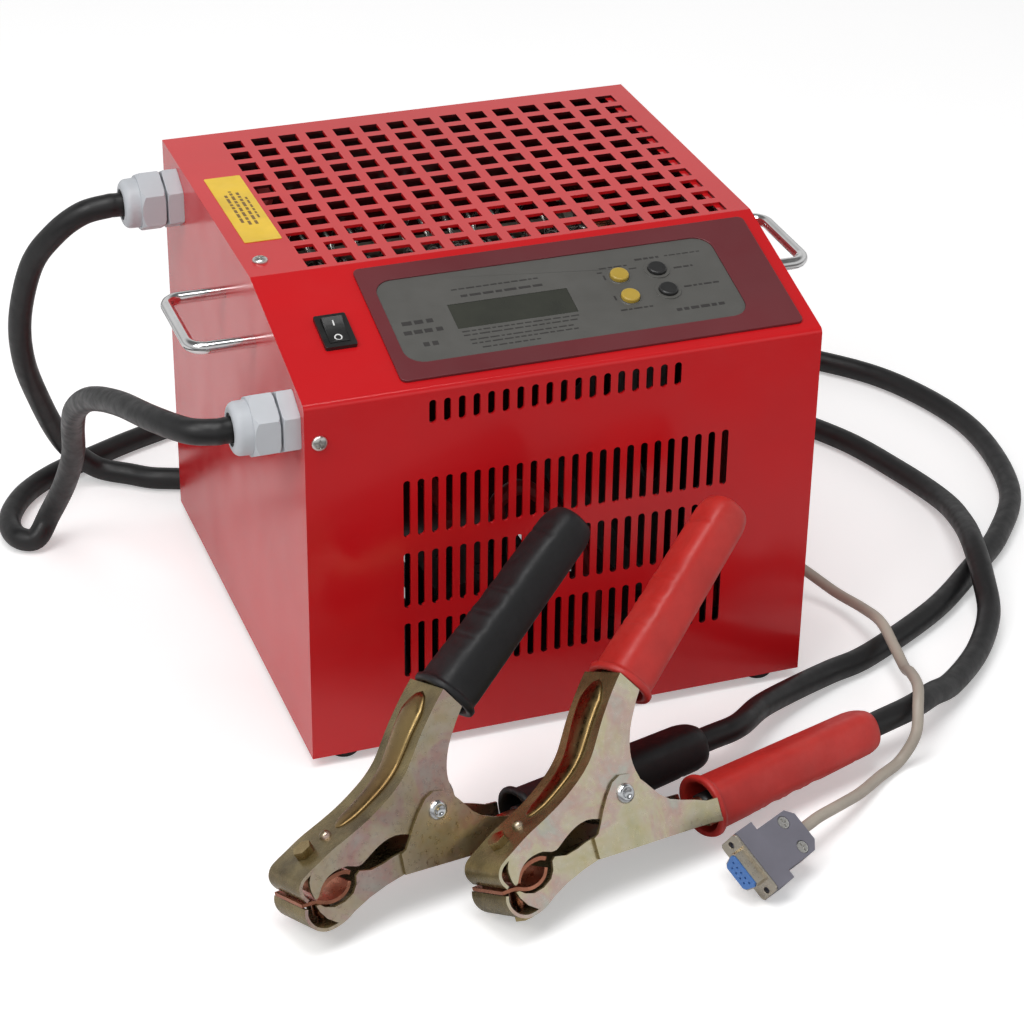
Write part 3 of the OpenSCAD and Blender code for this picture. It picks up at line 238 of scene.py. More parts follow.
class Mat:
    """A Principled material, kept in MATS; its patterns follow the object coordinates."""

    def __init__(self, name, **inputs):
        self.material = bpy.data.materials.new(name)
        self.material.use_nodes = True
        self.tree = self.material.node_tree
        self.bsdf = self.tree.nodes["Principled BSDF"]
        self.coords = self.add("TexCoord").outputs["Object"]
        self.set(**inputs)
        MATS[name] = self.material

    def add(self, kind, inputs=(), **settings):
        return add(self.tree, kind, inputs, **settings)

    def set(self, **inputs):
        """Feeds inputs of the Principled shader, spaces written as underscores."""
        for key, value in inputs.items():
            feed(self.tree, value, self.bsdf.inputs[key.replace("_", " ")])

    def noise(self, scale, detail=4.0, rough=0.55, distort=0.0, stretch=None):
        vector = self.coords
        if stretch:
            vector = self.add("Mapping", {"Vector": vector, "Scale": stretch}).outputs["Vector"]
        return self.add("TexNoise", {"Scale": scale, "Detail": detail, "Roughness": rough,
                                     "Distortion": distort, "Vector": vector}).outputs["Fac"]

    def remap(self, value, to=(0, 1), of=(0.3, 0.7)):
        """Maps the range of onto the range to, clamped."""
        return self.add("MapRange", {"From Min": of[0], "From Max": of[1], "To Min": to[0],
                                     "To Max": to[1], "Value": value}).outputs["Result"]

    def cloud(self, scale, to=(0, 1), of=(0.3, 0.7), **noise):
        """Noise with its contrast raised."""
        return self.remap(self.noise(scale, **noise), to, of)

    def mix(self, amount, under, over, mode="MIX"):
        under, over = [c if is_socket(c) else (*c, 1) for c in (under, over)]
        return self.add("Mix", {0: amount, 6: under, 7: over},
                        data_type="RGBA", blend_type=mode).outputs[2]

    def dot(self, vector, other):
        return self.add("VectorMath", {0: vector, 1: other},
                        operation="DOT_PRODUCT").outputs["Value"]

    def bump(self, scale, strength, depth, detail=2, under=None, stretch=None):
        """Noise relief, depth in metres, laid over an earlier relief if given."""
        inputs = {"Strength": strength, "Distance": depth,
                  "Height": self.noise(scale, detail=detail, stretch=stretch)}
        if under is not None:
            inputs["Normal"] = under
        normal = self.add("Bump", inputs).outputs["Normal"]
        self.set(Normal=normal)
        return normal


def scaled(colour, factor):
    return tuple(min(1, c * factor) for c in colour)


# ------------------------------------------------------------------ kinds of material
def inner_shade_mask(m):
    """1 on faces that look into the casing, 0 outside; it places the painted shade within the casing."""
    middle = tuple(c + x * MM for c, x in zip(CORNER, CASING_MIDDLE))
    geometry = m.add("NewGeometry").outputs
    from_middle = m.add("VectorMath", {0: geometry["Position"], 1: middle}, operation="SUBTRACT")
    facing = m.dot(from_middle.outputs["Vector"], geometry["Normal"])
    return m.remap(facing, to=(1, 0), of=(-0.02, 0.0))


def paint(name, colour, dark, rough, coat, inner_shade=None):
    """Sprayed paint with a faint orange peel; the colour given for the inside is painted shade, laid on the faces
    within the casing.
    """
    m = Mat(name, Coat_Weight=coat, Coat_Roughness=0.08)
    base = m.mix(m.cloud(scale=9, detail=3), colour, dark)
    if inner_shade:
        # painted shade: faces that look into the casing take the dark colour
        base = m.mix(inner_shade_mask(m), base, inner_shade)
    m.set(Base_Color=base,
          Roughness=m.cloud(scale=35, detail=5, to=(rough - 0.05, rough + 0.08)))
    peel = m.bump(scale=160, strength=0.05, depth=0.0003)
    m.bump(scale=900, strength=0.06, depth=0.0001, under=peel)


def plastic(name, colour, rough=0.42, grain=900, relief=0.25, vary=0.08):
    """Moulded plastic: grain is the relief's noise scale, vary the spread of its colour."""
    m = Mat(name)
    m.set(Base_Color=m.mix(m.cloud(scale=40), scaled(colour, 1 - vary * 1.6),
                           scaled(colour, 1 + vary)),
          Roughness=m.cloud(scale=120, to=(rough - 0.06, rough + 0.08)))
    m.bump(scale=grain, strength=relief, depth=0.0001)


def rubber(name, colour, rough, dust=(0.2, 0.19, 0.18), amount=0.18):
    """Dull rubber with patches of dust."""
    m = Mat(name, Specular_IOR_Level=0.45)
    base = m.mix(m.cloud(scale=60, detail=6, rough=0.6), scaled(colour, 0.8), colour)
    dusty = m.cloud(scale=28, detail=8, rough=0.7, to=(0, amount), of=(0.5, 0.8))
    m.set(Base_Color=m.mix(dusty, base, dust),
          Roughness=m.cloud(scale=200, detail=5, to=(rough - 0.08, rough + 0.12)))
    grain = m.bump(scale=1400, strength=0.3, depth=0.0001)
    m.bump(scale=70, detail=3, strength=0.15, depth=0.0005, under=grain)


def tarnished(m, dark, light, tint=None):
    """Mottled metal colour, with patches of tint if given."""
    base = m.mix(m.cloud(scale=50, detail=5), dark, light)
    if tint:
        base = m.mix(m.cloud(scale=22, to=(0, 0.7), of=(0.45, 0.7)), base, tint)
    return base


def steel(name, colour, rough, tint=None, relief=0.15):
    """Bare or plated metal."""
    m = Mat(name, Metallic=1.0)
    even = (1, 1, 1)
    m.set(Base_Color=tarnished(m, scaled(colour, 0.82), colour, tint),
          Roughness=m.cloud(scale=300, stretch=even, to=(rough - 0.1, rough + 0.12)))
    m.bump(scale=500, detail=3, stretch=even, strength=relief, depth=0.0001)


def passivated(name, side, tone, back):
    """Yellow-passivated zinc: a thin iridescent film, pale gold on the flat plates across side,
    and browner by up to back on the bent backs, which is painted shade."""
    m = Mat(name, Metallic=1.0)
    film = add_ramp(m.tree, m.noise(scale=30, detail=5, rough=0.6, distort=0.6), [
        (0.25, (0.50, 0.52, 0.36)), (0.40, (0.68, 0.63, 0.38)), (0.50, (0.76, 0.68, 0.48)),
        (0.58, (0.72, 0.50, 0.46)), (0.66, (0.62, 0.62, 0.58)), (0.80, (0.74, 0.68, 0.40))])
    film = m.mix(1.0, film, tone, "MULTIPLY")
    pale = m.mix(m.cloud(scale=120, detail=6, rough=0.7, to=(0, 0.5)), film, (0.78, 0.77, 0.70))
    brown = m.mix(m.cloud(scale=45), (0.075, 0.052, 0.018), (0.27, 0.21, 0.09))
    turned = m.dot(m.add("NewGeometry").outputs["Normal"], side)
    flat = m.add("Math", {0: turned}, operation="ABSOLUTE").outputs["Value"]
    # painted shade: faces not turned across side, the bent backs, are mixed towards brown
    shaded_backs = m.remap(flat, to=(back, 0.0), of=(0.25, 0.9))
    patch = m.cloud(scale=14, detail=3, to=(0, 0.45), of=(0.5, 0.75))
    # the backs are slightly smoother than the plates
    rough = m.add("Math", {0: shaded_backs, 1: -0.04, 2: m.cloud(scale=420, rough=0.6, to=(0.24, 0.40))},
                  operation="MULTIPLY_ADD")
    m.set(Base_Color=m.mix(patch, m.mix(shaded_backs, pale, brown), brown),
          # the backs, painted darker as shade, are also made less metallic, so they mirror less
          Metallic=m.remap(flat, to=(0.55, 1.0), of=(0.25, 0.9)),
          Roughness=rough.outputs["Value"])
    m.bump(scale=60, strength=0.12, depth=0.0006)


def contact(name, point, along):
    """Copper strip whose bolt head, beyond the plane through point, is yellow-plated."""
    m = Mat(name, Metallic=1.0)
    copper = tarnished(m, (0.42, 0.16, 0.10), (0.62, 0.27, 0.17), tint=(0.26, 0.09, 0.05))
    gold = m.mix(m.cloud(scale=60, detail=5), (0.30, 0.21, 0.09), (0.52, 0.42, 0.22))
    limit = point.dot(along)
    beyond = m.remap(m.dot(m.coords, along), of=(limit - 1e-5, limit + 1e-5))
    m.set(Base_Color=m.mix(beyond, copper, gold), Roughness=m.cloud(scale=300, to=(0.2, 0.4)))
    m.bump(scale=500, detail=3, strength=0.15, depth=0.0001)
    return m.material


def display_glass():
    m = Mat("window", Coat_Weight=0.6, Coat_Roughness=0.05, Roughness=0.12)
    m.set(Base_Color=m.mix(m.cloud(scale=60, detail=3),
                           (0.032, 0.034, 0.027), (0.042, 0.044, 0.034)))
    m.bump(scale=300, strength=0.02, depth=0.0001)


# ------------------------------------------------------------------ materials
# the casing's inner faces get a dark colour as painted shade
paint("casing_red", (0.60, 0.0095, 0.013), dark=(0.52, 0.0085, 0.012), rough=0.17, coat=0.0,
      inner_shade=(0.045, 0.004, 0.005))
paint("panel_maroon", (0.15, 0.022, 0.028), dark=(0.115, 0.016, 0.021), rough=0.35, coat=0.05)
plastic("panel_grey", (0.092, 0.090, 0.083), rough=0.38, grain=1500, relief=0.1, vary=0.04)
steel("screws_zinc", (0.72, 0.71, 0.68), rough=0.28)
rubber("feet_rubber", (0.012, 0.012, 0.012), rough=0.6)
plastic("board_green", (0.01, 0.09, 0.03), rough=0.3, grain=500, relief=0.1)
steel("display_frame", (0.10, 0.10, 0.10), rough=0.4)
plastic("switch_black", (0.012, 0.012, 0.012), rough=0.3, grain=1400, relief=0.12)
plastic("key_yellow", (0.46, 0.31, 0.045), rough=0.32, grain=1400, relief=0.1)
plastic("key_black", (0.018, 0.018, 0.018), rough=0.32, grain=1400, relief=0.1)
plastic("label_yellow", (0.80, 0.52, 0.03), rough=0.4, grain=600, relief=0.05)
steel("handle_chrome", (0.80, 0.80, 0.80), rough=0.12, relief=0.03)
plastic("gland_grey", (0.50, 0.52, 0.55), relief=0.15, vary=0.03)
rubber("seal_black", (0.010, 0.010, 0.010), rough=0.55)
rubber("lead_black", (0.008, 0.008, 0.0085), rough=0.42, dust=(0.05, 0.045, 0.045), amount=0.2)
plastic("data_grey", (0.42, 0.37, 0.31), rough=0.45, grain=700, relief=0.15)
plastic("hood_grey", (0.17, 0.165, 0.20), relief=0.2)
steel("plug_nickel", (0.68, 0.62, 0.52), rough=0.3)
plastic("insert_blue", (0.075, 0.20, 0.52), rough=0.35)
steel("rivet_steel", (0.70, 0.72, 0.74), rough=0.2)
steel("spring_steel", (0.55, 0.55, 0.56), rough=0.25)
rubber("sleeve_black", (0.007, 0.007, 0.008), rough=0.52, dust=(0.03, 0.03, 0.03), amount=0.2)
rubber("sleeve_red", (0.54, 0.028, 0.022), rough=0.42, dust=(0.60, 0.11, 0.09), amount=0.25)
steel("copper", (0.62, 0.27, 0.17), rough=0.3, tint=(0.30, 0.10, 0.05))
steel("heater_wire", (0.62, 0.60, 0.56), rough=0.22)
# painted shade: the coil brackets and rods are given darker colours than their own, to stand for the shade inside the
# casing
steel("bracket_zinc", (0.16, 0.155, 0.15), rough=0.5)
plastic("ceramic_cream", (0.16, 0.14, 0.115), rough=0.4)
rubber("lead_red", (0.30, 0.02, 0.02), rough=0.45)
display_glass()
# the bent backs of the jaws are painted browner as painted shade
passivated("jaw_zinc_black", BLACK.out, tone=(0.98, 0.86, 0.84), back=0.97)
passivated("jaw_zinc_red", RED.out, tone=(1, 0.97, 0.90), back=0.96)
MATS["jaw_zinc"] = MATS["jaw_zinc_black"]
steel("jaw_bead", (0.30, 0.21, 0.09), rough=0.3, tint=(0.16, 0.08, 0.03), relief=0.05)
plastic("print_grey", (0.030, 0.027, 0.026), rough=0.45, grain=1500, relief=0.05, vary=0.05)
plastic("print_dark", (0.20, 0.10, 0.02), rough=0.45, grain=1500, relief=0.05, vary=0.05)
plastic("mark_white", (0.75, 0.75, 0.74), rough=0.4, grain=1500, relief=0.05, vary=0.03)


# ------------------------------------------------------------------ CAD pieces
# pieces whose edges are split, not rounded
SPLIT = {"front_cover", "side_panel_left", "side_panel_right", "rear_panel", "base_plate"}
# widths of the edge rounding, millimetres
ROUNDING = {
    "panel_bezel": 0.3, "face_plate": 0.15, "rocker_housing": 0.35, "rocker_paddle": 0.3,
    "gland_bodies": 0.3, "gland_nuts": 0.3, "plug_hood": 0.5, "plug_shell": 0.15,
    "plug_insert": 0.2, "contactor": 0.6, "coil_brackets": 0.3, "bus_bars": 0.3,
    "display_window": 0.15,
}
ROUNDING_ELSEWHERE = 0.08


def rounding(name):
    if name.endswith("_jaw"):
        return 0.35
    if name.endswith("_contact"):
        return 0.25
    return ROUNDING.get(name, ROUNDING_ELSEWHERE)


def modify(obj, name, kind, **settings):
    modifier = obj.modifiers.new(name, kind)
    for key, value in settings.items():
        setattr(modifier, key, value)


def clean(obj):
    """Welds the imported mesh, rounds or splits its sharp edges and shades its flats flat."""
    mesh = obj.data
    mesh.materials.clear()
    mesh.materials.append(MATS[SLOTS[obj.name]])
    if "custom_normal" in mesh.attributes:
        mesh.attributes.remove(mesh.attributes["custom_normal"])
    mesh.shade_smooth()
    modify(obj, "weld", "WELD", merge_threshold=2e-6)
    if obj.name == "panel_bezel":
        modify(obj, "merge_flats", "DECIMATE", decimate_type="DISSOLVE",
               angle_limit=math.radians(0.3))
    if obj.name in SPLIT:
        modify(obj, "edges", "EDGE_SPLIT", split_angle=math.radians(30), use_edge_sharp=False)
        modify(obj, "flats", "WEIGHTED_NORMAL", mode="FACE_AREA", weight=50)
        return
    modify(obj, "round", "BEVEL", width=rounding(obj.name) * MM, segments=2,
           limit_method="ANGLE", angle_limit=math.radians(32), harden_normals=False,
           use_clamp_overlap=True, miter_outer="MITER_ARC", face_strength_mode="FSTR_AFFECTED")
    modify(obj, "flats", "WEIGHTED_NORMAL", mode="FACE_AREA", weight=50,
           use_face_influence=True, keep_sharp=False)


def plate_bolt_heads(clamp):
    """Contact strips in copper, told apart from their bolt heads by the plane just outside
    each web."""
    tilt = math.radians(24)
    for part, (u, v), (du, dv) in (
            ("upper", (-58.8, -2.95), (-math.sin(tilt), math.cos(tilt))),
            ("lower", (-57, -34.35), (0.0, -1.0))):
        base = clamp.place(u, v)
        normal = (clamp.place(u + du, v + dv) - base).normalized()
        strip = NODES[f"{clamp.colour}_{part}_contact"]
        strip.data.materials[0] = contact(f"contact_{clamp.colour}_{part}", base, normal)


for node in NODES.values():
    clean(node)
for name in ("red_lower_jaw", "red_upper_jaw"):
    NODES[name].data.materials[0] = MATS["jaw_zinc_red"]
for clamp in CLAMPS:
    plate_bolt_heads(clamp)


# ------------------------------------------------------------------ shape helpers
def mesh_obj(name, verts, faces, mat, body=None, slot=None, smooth=True):
    """Object from row frame points; body is the link it rides on."""
    mesh = bpy.data.meshes.new(name)
    mesh.from_pydata([tuple(v) for v in verts], [], faces)
    mesh.validate()
    mesh.update()
    obj = bpy.data.objects.new(name, mesh)
    bpy.context.scene.collection.objects.link(obj)
    mesh.materials.append(MATS[mat])
    if smooth:
        mesh.shade_smooth()
    if body:
        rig.ride(obj, body)
    if slot:
        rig.slot(obj, slot)
    return obj


def face_outward(obj):
    bm = bmesh.new()
    bm.from_mesh(obj.data)
    bmesh.ops.recalc_face_normals(bm, faces=bm.faces)
    bm.to_mesh(obj.data)
    bm.free()


def circle(count):
    """Cosine and sine of each of count even steps round a circle."""
    angles = [2 * math.pi * k / count for k in range(count)]
    return [(math.cos(a), math.sin(a)) for a in angles]


def band(a, b, count, flip=False):
    """Quads between the closed rings whose first points are a and b."""
    faces = []
    for k in range(count):
        k2 = (k + 1) % count
        faces.append((a + k, b + k, b + k2, a + k2) if flip
                     else (a + k, a + k2, b + k2, b + k))
    return faces


def bands(rings, count, flip=False, first=0):
    """Quads along a stack of rings that starts at point first."""
    return [f for j in range(rings - 1)
            for f in band(first + j * count, first + (j + 1) * count, count, flip)]


def capped(rings, count):
    """Faces of a stack of rings closed at both ends."""
    last = (rings - 1) * count
    return bands(rings, count) + [tuple(range(count))[::-1], tuple(range(last, last + count))]


def spline(a, b, c, d, t):
    """Catmull-Rom point between b and c."""
    return 0.5 * ((2 * b) + (c - a) * t + (2 * a - 5 * b + 4 * c - d) * t * t
                  + (3 * b - a - 3 * c + d) * t ** 3)


def curve(points, steps):
    """Smooth line through the points, with steps to each span."""
    points = [Vector(q) for q in points]
    last = len(points) - 1
    line = [spline(points[max(i - 1, 0)], points[i], points[i + 1], points[min(i + 2, last)],
                   k / steps)
            for i in range(last) for k in range(steps)]
    return line + [points[-1]]


def tube(name, points, radius, sides, mat, body=None, slot=None):
    """Closed round tube along points (casing millimetres), its sections carried without twist."""
    last = len(points) - 1
    tangents = [(points[min(i + 1, last)] - points[max(i - 1, 0)]).normalized()
                for i in range(last + 1)]
    up = Vector((0, 0, 1)) if abs(tangents[0].z) < 0.8 else Vector((1, 0, 0))
    side = up.cross(tangents[0]).normalized()
    verts = []
    for point, tangent in zip(points, tangents):
        side = (side - side.dot(tangent) * tangent).normalized()
        other = tangent.cross(side)
        verts += [place(point + radius * (c * side + s * other)) for c, s in circle(sides)]
    return mesh_obj(name, verts, capped(len(points), sides), mat, body, slot)


# ------------------------------------------------------------------ leads
LEAD_R = 6.0
DATA_R = 2.75
LIE = FLOOR_Z + LEAD_R  # height of a power lead's axis where it lies on the floor
DATA_LIE = FLOOR_Z + DATA_R
PLUG = Vector((156, -154, 9.5))
PLUG_HEADING = math.radians(-151.4)


def plug_axis(distance):
    """A point on the data plug's axis."""
    return PLUG + distance * Vector((math.cos(PLUG_HEADING), math.sin(PLUG_HEADING), 0))


# points (x, y, z) from the casing's glands to the clamps' lower jaws
ROUTE_REAR = [
    (26, 228, 192), (4, 228, 192), (-29, 228, 192), (-36, 228, 192), (-49, 230.5, 188.5),
    (-62, 236, 177), (-73, 246, 157), (-79, 258, 123), (-77, 269, 92), (-68, 283, 60),
    (-58, 295, 33), (-49, 301, 17), (-36, 302, LIE + 3), (-20, 294, LIE + 0.3), (-4, 284, LIE),
    (30, 276, LIE), (110, 275, LIE), (210, 279, LIE), (290, 276, LIE), (344, 246, LIE),
    (371, 209, LIE), (386, 165, LIE), (392, 124, LIE + 2.5), (386, 90, LIE + 9),
    (377, 60, LIE + 13.4), (369, 32, LIE + 9), (360, 8, LIE + 3.5), (340, -18, LIE + 1),
    (313, -43, LIE + 3.5), (295, -56, LIE + 9),
    RED.at(178, -21.82), RED.at(154, -22.3), RED.at(99, -23.4), RED.at(47, -24.44)]
ROUTE_FRONT = [
    (26, 18, 172), (4, 18, 172), (-29, 18, 172), (-36, 18, 172), (-47, 24, 171.5),
    (-57, 48, 167), (-64, 90, 155), (-69, 130, 138), (-71, 160, 118), (-69, 184, 96),
    (-66, 206, 68), (-68, 226, 40), (-74, 243, 14), (-83, 240, LIE + 1), (-92, 247, LIE),
    (-92, 266, LIE), (-80, 289, LIE), (-60, 307, LIE), (-35, 320, LIE), (0, 336, LIE),
    (60, 356, LIE), (160, 372, LIE), (270, 366, LIE), (355, 337, LIE), (405, 297, LIE),
    (434, 255, LIE), (448, 195, LIE), (436, 128, LIE), (406, 84, LIE), (374, 55, LIE),
    (338, 26, LIE), (288, -2, LIE), (262, -11.5, LIE + 1), (236, -24, LIE + 4),
    (212, -39, LIE + 8.5),
    BLACK.at(174, -21.9), BLACK.at(154, -22.3), BLACK.at(99, -23.4), BLACK.at(47, -24.44)]
# points (x, y, z) from the casing's right side to the plug
ROUTE_DATA = [
    (238, 80, 30), (242, 80, 30), (254, 80, 30), (259, 80, 30), (268, 77, 22), (283, 68, 12),
    (294, 50, 6), (298, 28, 9), (297.5, 6, 13.6), (296.5, -12, 10), (294.5, -28, 8),
    (289.5, -43, 15.5), (281.5, -65, 23.6), (276, -77, 21.2), (271.5, -85.5, 10.8),
    (263, -88, DATA_LIE + 1.5), (249, -96, DATA_LIE + 1), (232, -109, 1.8), (217, -119.5, 6),
    plug_axis(-52), plug_axis(-43), plug_axis(-33), plug_axis(-22)]

for name, route, radius, sides, mat, node in (
        ("lead_rear_sheath", ROUTE_REAR, LEAD_R, 28, "lead_black", "power_lead_rear"),
        ("lead_front_sheath", ROUTE_FRONT, LEAD_R, 28, "lead_black", "power_lead_front"),
        ("data_lead_sheath", ROUTE_DATA, DATA_R, 20, "data_grey", "data_lead")):
    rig.replaces(tube(name, curve(route, steps=9), radius, sides, mat, "tester", mat), node)


# ------------------------------------------------------------------ load coils
COIL_R, COIL_TURNS, COIL_STEPS = 15, 12, 26  # steps are per turn
COIL_X, COIL_Z = CASING_MIDDLE[0], 150
COIL_HALF, TAIL_HALF = 77, 90.9  # half lengths of the helix and of the wire with its tails


def load_coil(y):
    """Fine helix round a ceramic rod, its straight tails on top."""
    count = COIL_TURNS * COIL_STEPS
    points = [Vector((COIL_X - TAIL_HALF, y, COIL_Z + COIL_R))]
    for i in range(count + 1):
        angle = math.radians(90 + 360 * COIL_TURNS * i / count)
        points.append(Vector((COIL_X - COIL_HALF + 2 * COIL_HALF * i / count,
                              y + COIL_R * math.cos(angle), COIL_Z + COIL_R * math.sin(angle))))
    points.append(Vector((COIL_X + TAIL_HALF, y, COIL_Z + COIL_R)))
    return tube("coil", points, radius=1.6, sides=10, mat="heater_wire")


def load_coils():
    """The four coils joined into one piece."""
    coils = [load_coil(y) for y in (105, 145, 185, 225)]
    bm = bmesh.new()
    for coil in coils:
        bm.from_mesh(coil.data)
    mesh = bpy.data.meshes.new("load_coil_wires")
    bm.to_mesh(mesh)
    bm.free()
    mesh.materials.append(MATS["heater_wire"])
    mesh.shade_smooth()
    for coil in coils:
        bpy.data.objects.remove(coil, do_unlink=True)
    obj = bpy.data.objects.new("load_coil_wires", mesh)
    bpy.context.scene.collection.objects.link(obj)
    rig.ride(obj, "tester")
    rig.slot(obj, "heater_wire")
    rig.replaces(obj, "load_coils")


load_coils()

# ------------------------------------------------------------------ clamp springs
SPRING_R, SPRING_HALF = 13.4, 9.2  # coil radius and half its width
LOWER_END, UPPER_END = (33, -24.1), (6.5, 37.3)  # (u, v) of the wire's ends
SPRING_STEPS = 200


def tangent_angle(end, sign):
    """Degrees round the coil at which the wire leaves it for the end."""
    return (math.degrees(math.atan2(end[1], end[0]))
            + sign * math.degrees(math.acos(SPRING_R / math.hypot(*end))))


def spring(clamp):
    """Torsion spring round the pivot, shared between the two jaws."""
    start = tangent_angle(LOWER_END, -1)
    end = tangent_angle(UPPER_END, 1) - 4 * 360
    points = [clamp.at(*LOWER_END, -SPRING_HALF)]
    for k in range(SPRING_STEPS + 1):
        angle = math.radians(start + (end - start) * k / SPRING_STEPS)
        points.append(clamp.at(SPRING_R * math.cos(angle), SPRING_R * math.sin(angle),
                               -SPRING_HALF + 2 * SPRING_HALF * k / SPRING_STEPS))
    points.append(clamp.at(*UPPER_END, SPRING_HALF))
    obj = tube(f"{clamp.colour}_spring_wire", points, radius=1.5, sides=12,
               mat="spring_steel", slot="spring_steel")
    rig.blend(obj, "tester", f"{clamp.colour}_clamp_upper",
             clamp.place(0, -12.5), clamp.place(0, 6.5))
    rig.replaces(obj, f"{clamp.colour}_spring")


for clamp in CLAMPS:
    spring(clamp)

# ------------------------------------------------------------------ sleeves
LOWER_AXIS = ((49, -24.4), (149, -22.4))  # (u, v) of the sleeve's two ends
UPPER_AXIS = ((23, 43.5), (103, 100))
SLEEVE_SIDES = 72
# sections of the mouth flange: distance along the sleeve, half height in the clamp's plane,
# half width across it, squareness (2 is an ellipse)
FLANGE = [
    (-2.0, 12.3, 12.6, 2.2), (-2.0, 13.9, 14.4, 2.2), (-1.7, 14.6, 15.1, 2.2),
    (-1.0, 14.9, 15.4, 2.2), (0.3, 14.9, 15.4, 2.2), (1.0, 14.5, 15.0, 2.2),
    (1.4, 13.5, 14.0, 2.4), (1.9, 12.6, 13.1, 2.8), (3.0, 12.1, 12.6, 3.2),
    (5.0, 12.0, 12.5, 3.4)]
TIP_R = 6.6
TIP_STEPS = 12


def sleeve_sections(length):
    """Flange, tapering squarish grip and rounded tip, in the columns of FLANGE."""
    grip = []
    for k in range(int((length - 14) / 0.8)):
        z = 6 + 0.8 * k
        grip.append((z, 12.0 - 1.7 * z / length, 12.5 - 1.8 * z / length, 3.6))
    start, height, width, _ = grip[-1]
    tip = []
    for k in range(1, TIP_STEPS + 1):
        angle = math.radians(90 * k / TIP_STEPS)
        shrink = math.cos(angle) ** 0.8
        tip.append((start + (length - start) * math.sin(angle), TIP_R + (height - TIP_R) * shrink,
                    TIP_R + (width - TIP_R) * shrink, 3.4 - 1.2 * (k / TIP_STEPS)))
    return FLANGE + grip + tip


def notch_depth(z, length):
    """Narrow grooves and, between them, shallow finger waves."""
    depth = 0.0
    if 10 < z < length - 10:
        for groove in (25, 38, 51, 84):
            depth += 0.75 * math.exp(-((z - groove) / 0.9) ** 2)
        if 18 < z < 64:
            wave = 0.5 - 0.5 * math.cos(2 * math.pi * (z - 25) / 13.0)
            depth += 0.9 * wave * min(1, (z - 18) / 7, (64 - z) / 9)
    return depth


def sleeve_ring(section, length, side):
    """Points (in the clamp's plane, across it, along) of one section; side is the notched one."""
    z, height, width, squareness = section
    notch = notch_depth(z, length)
    ring = []
    for c, s in circle(SLEEVE_SIDES):
        p = math.copysign(abs(c) ** (2 / squareness), c)
        q = math.copysign(abs(s) ** (2 / squareness), s)
        # fine moulded ridge along the middle of each flank
        ridge = 0.22 * math.exp(-(p / 0.05) ** 2) if 8 < z < length - 12 else 0.0
        ring.append(((height - notch * max(0.0, side * c) ** 2) * p, (width + ridge) * q, z))
    return ring


def sleeve(clamp, part, axis, body, side, hole=None):
    """Moulded grip; hole is the radius of the lead's hole in the tip, and without one the
    bore is blind."""
    (u0, v0), (u1, v1) = axis
    span = math.hypot(u1 - u0, v1 - v0)
    du, dv = (u1 - u0) / span, (v1 - v0) / span
    length = span + 2
    count = SLEEVE_SIDES

    def round_rings(stations):
        return [[(r * c, r * s, z) for c, s in circle(count)] for r, z in stations]

    outer = [sleeve_ring(section, length, side) for section in sleeve_sections(length)]
    # the bore from the mouth inward: radius, distance along the sleeve
    bore = [(12.0, -1.4), (11.3, 1), (10.6, 6), (10.2, 12), (9.0, length - 12)]
    if hole:
        rings = outer + round_rings([(hole + 0.4, length), (hole, length - 0.4),
                                     (hole, length - 4), (8.4, length - 4.4)] + bore[::-1])
        faces = bands(len(rings), count, flip=True)
        faces += band((len(rings) - 1) * count, 0, count, flip=True)
    else:
        outer += round_rings([(3.2, length + 0.05)])
        inner = round_rings(bore + [(8.4, length - 5)])
        rings = outer + inner
        base, end = len(outer) * count, len(rings) * count
        faces = bands(len(outer), count, flip=True) + [tuple(range(base - count, base))]
        faces += band(0, base, count) + bands(len(inner), count, first=base)
        faces.append(tuple(range(end - count, end)))
    verts = [clamp.place(u0 + z * du - p * dv, v0 + z * dv + p * du, q)
             for ring in rings for p, q, z in ring]
    mat = f"sleeve_{clamp.colour}"
    obj = mesh_obj(f"{clamp.colour}_{part}_grip", verts, faces, mat, body, mat)
    face_outward(obj)
    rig.replaces(obj, f"{clamp.colour}_{part}_sleeve")


for clamp in CLAMPS:
    sleeve(clamp, "upper", UPPER_AXIS, f"{clamp.colour}_clamp_upper", side=1)
    sleeve(clamp, "lower", LOWER_AXIS, "tester", side=-1, hole=6.03)

# ------------------------------------------------------------------ upper jaw beads
# (u, v) down the back of the upper jaw
JAW_BACK = [(17.6, 53.4), (8.4, 44.6), (-0.5, 34.5), (-6, 27.2), (-11, 20.8), (-17, 15.6),
            (-24, 11.3), (-33, 6.8), (-42.5, 3.2)]
BEAD_STEPS = 14  # across the bead's arch


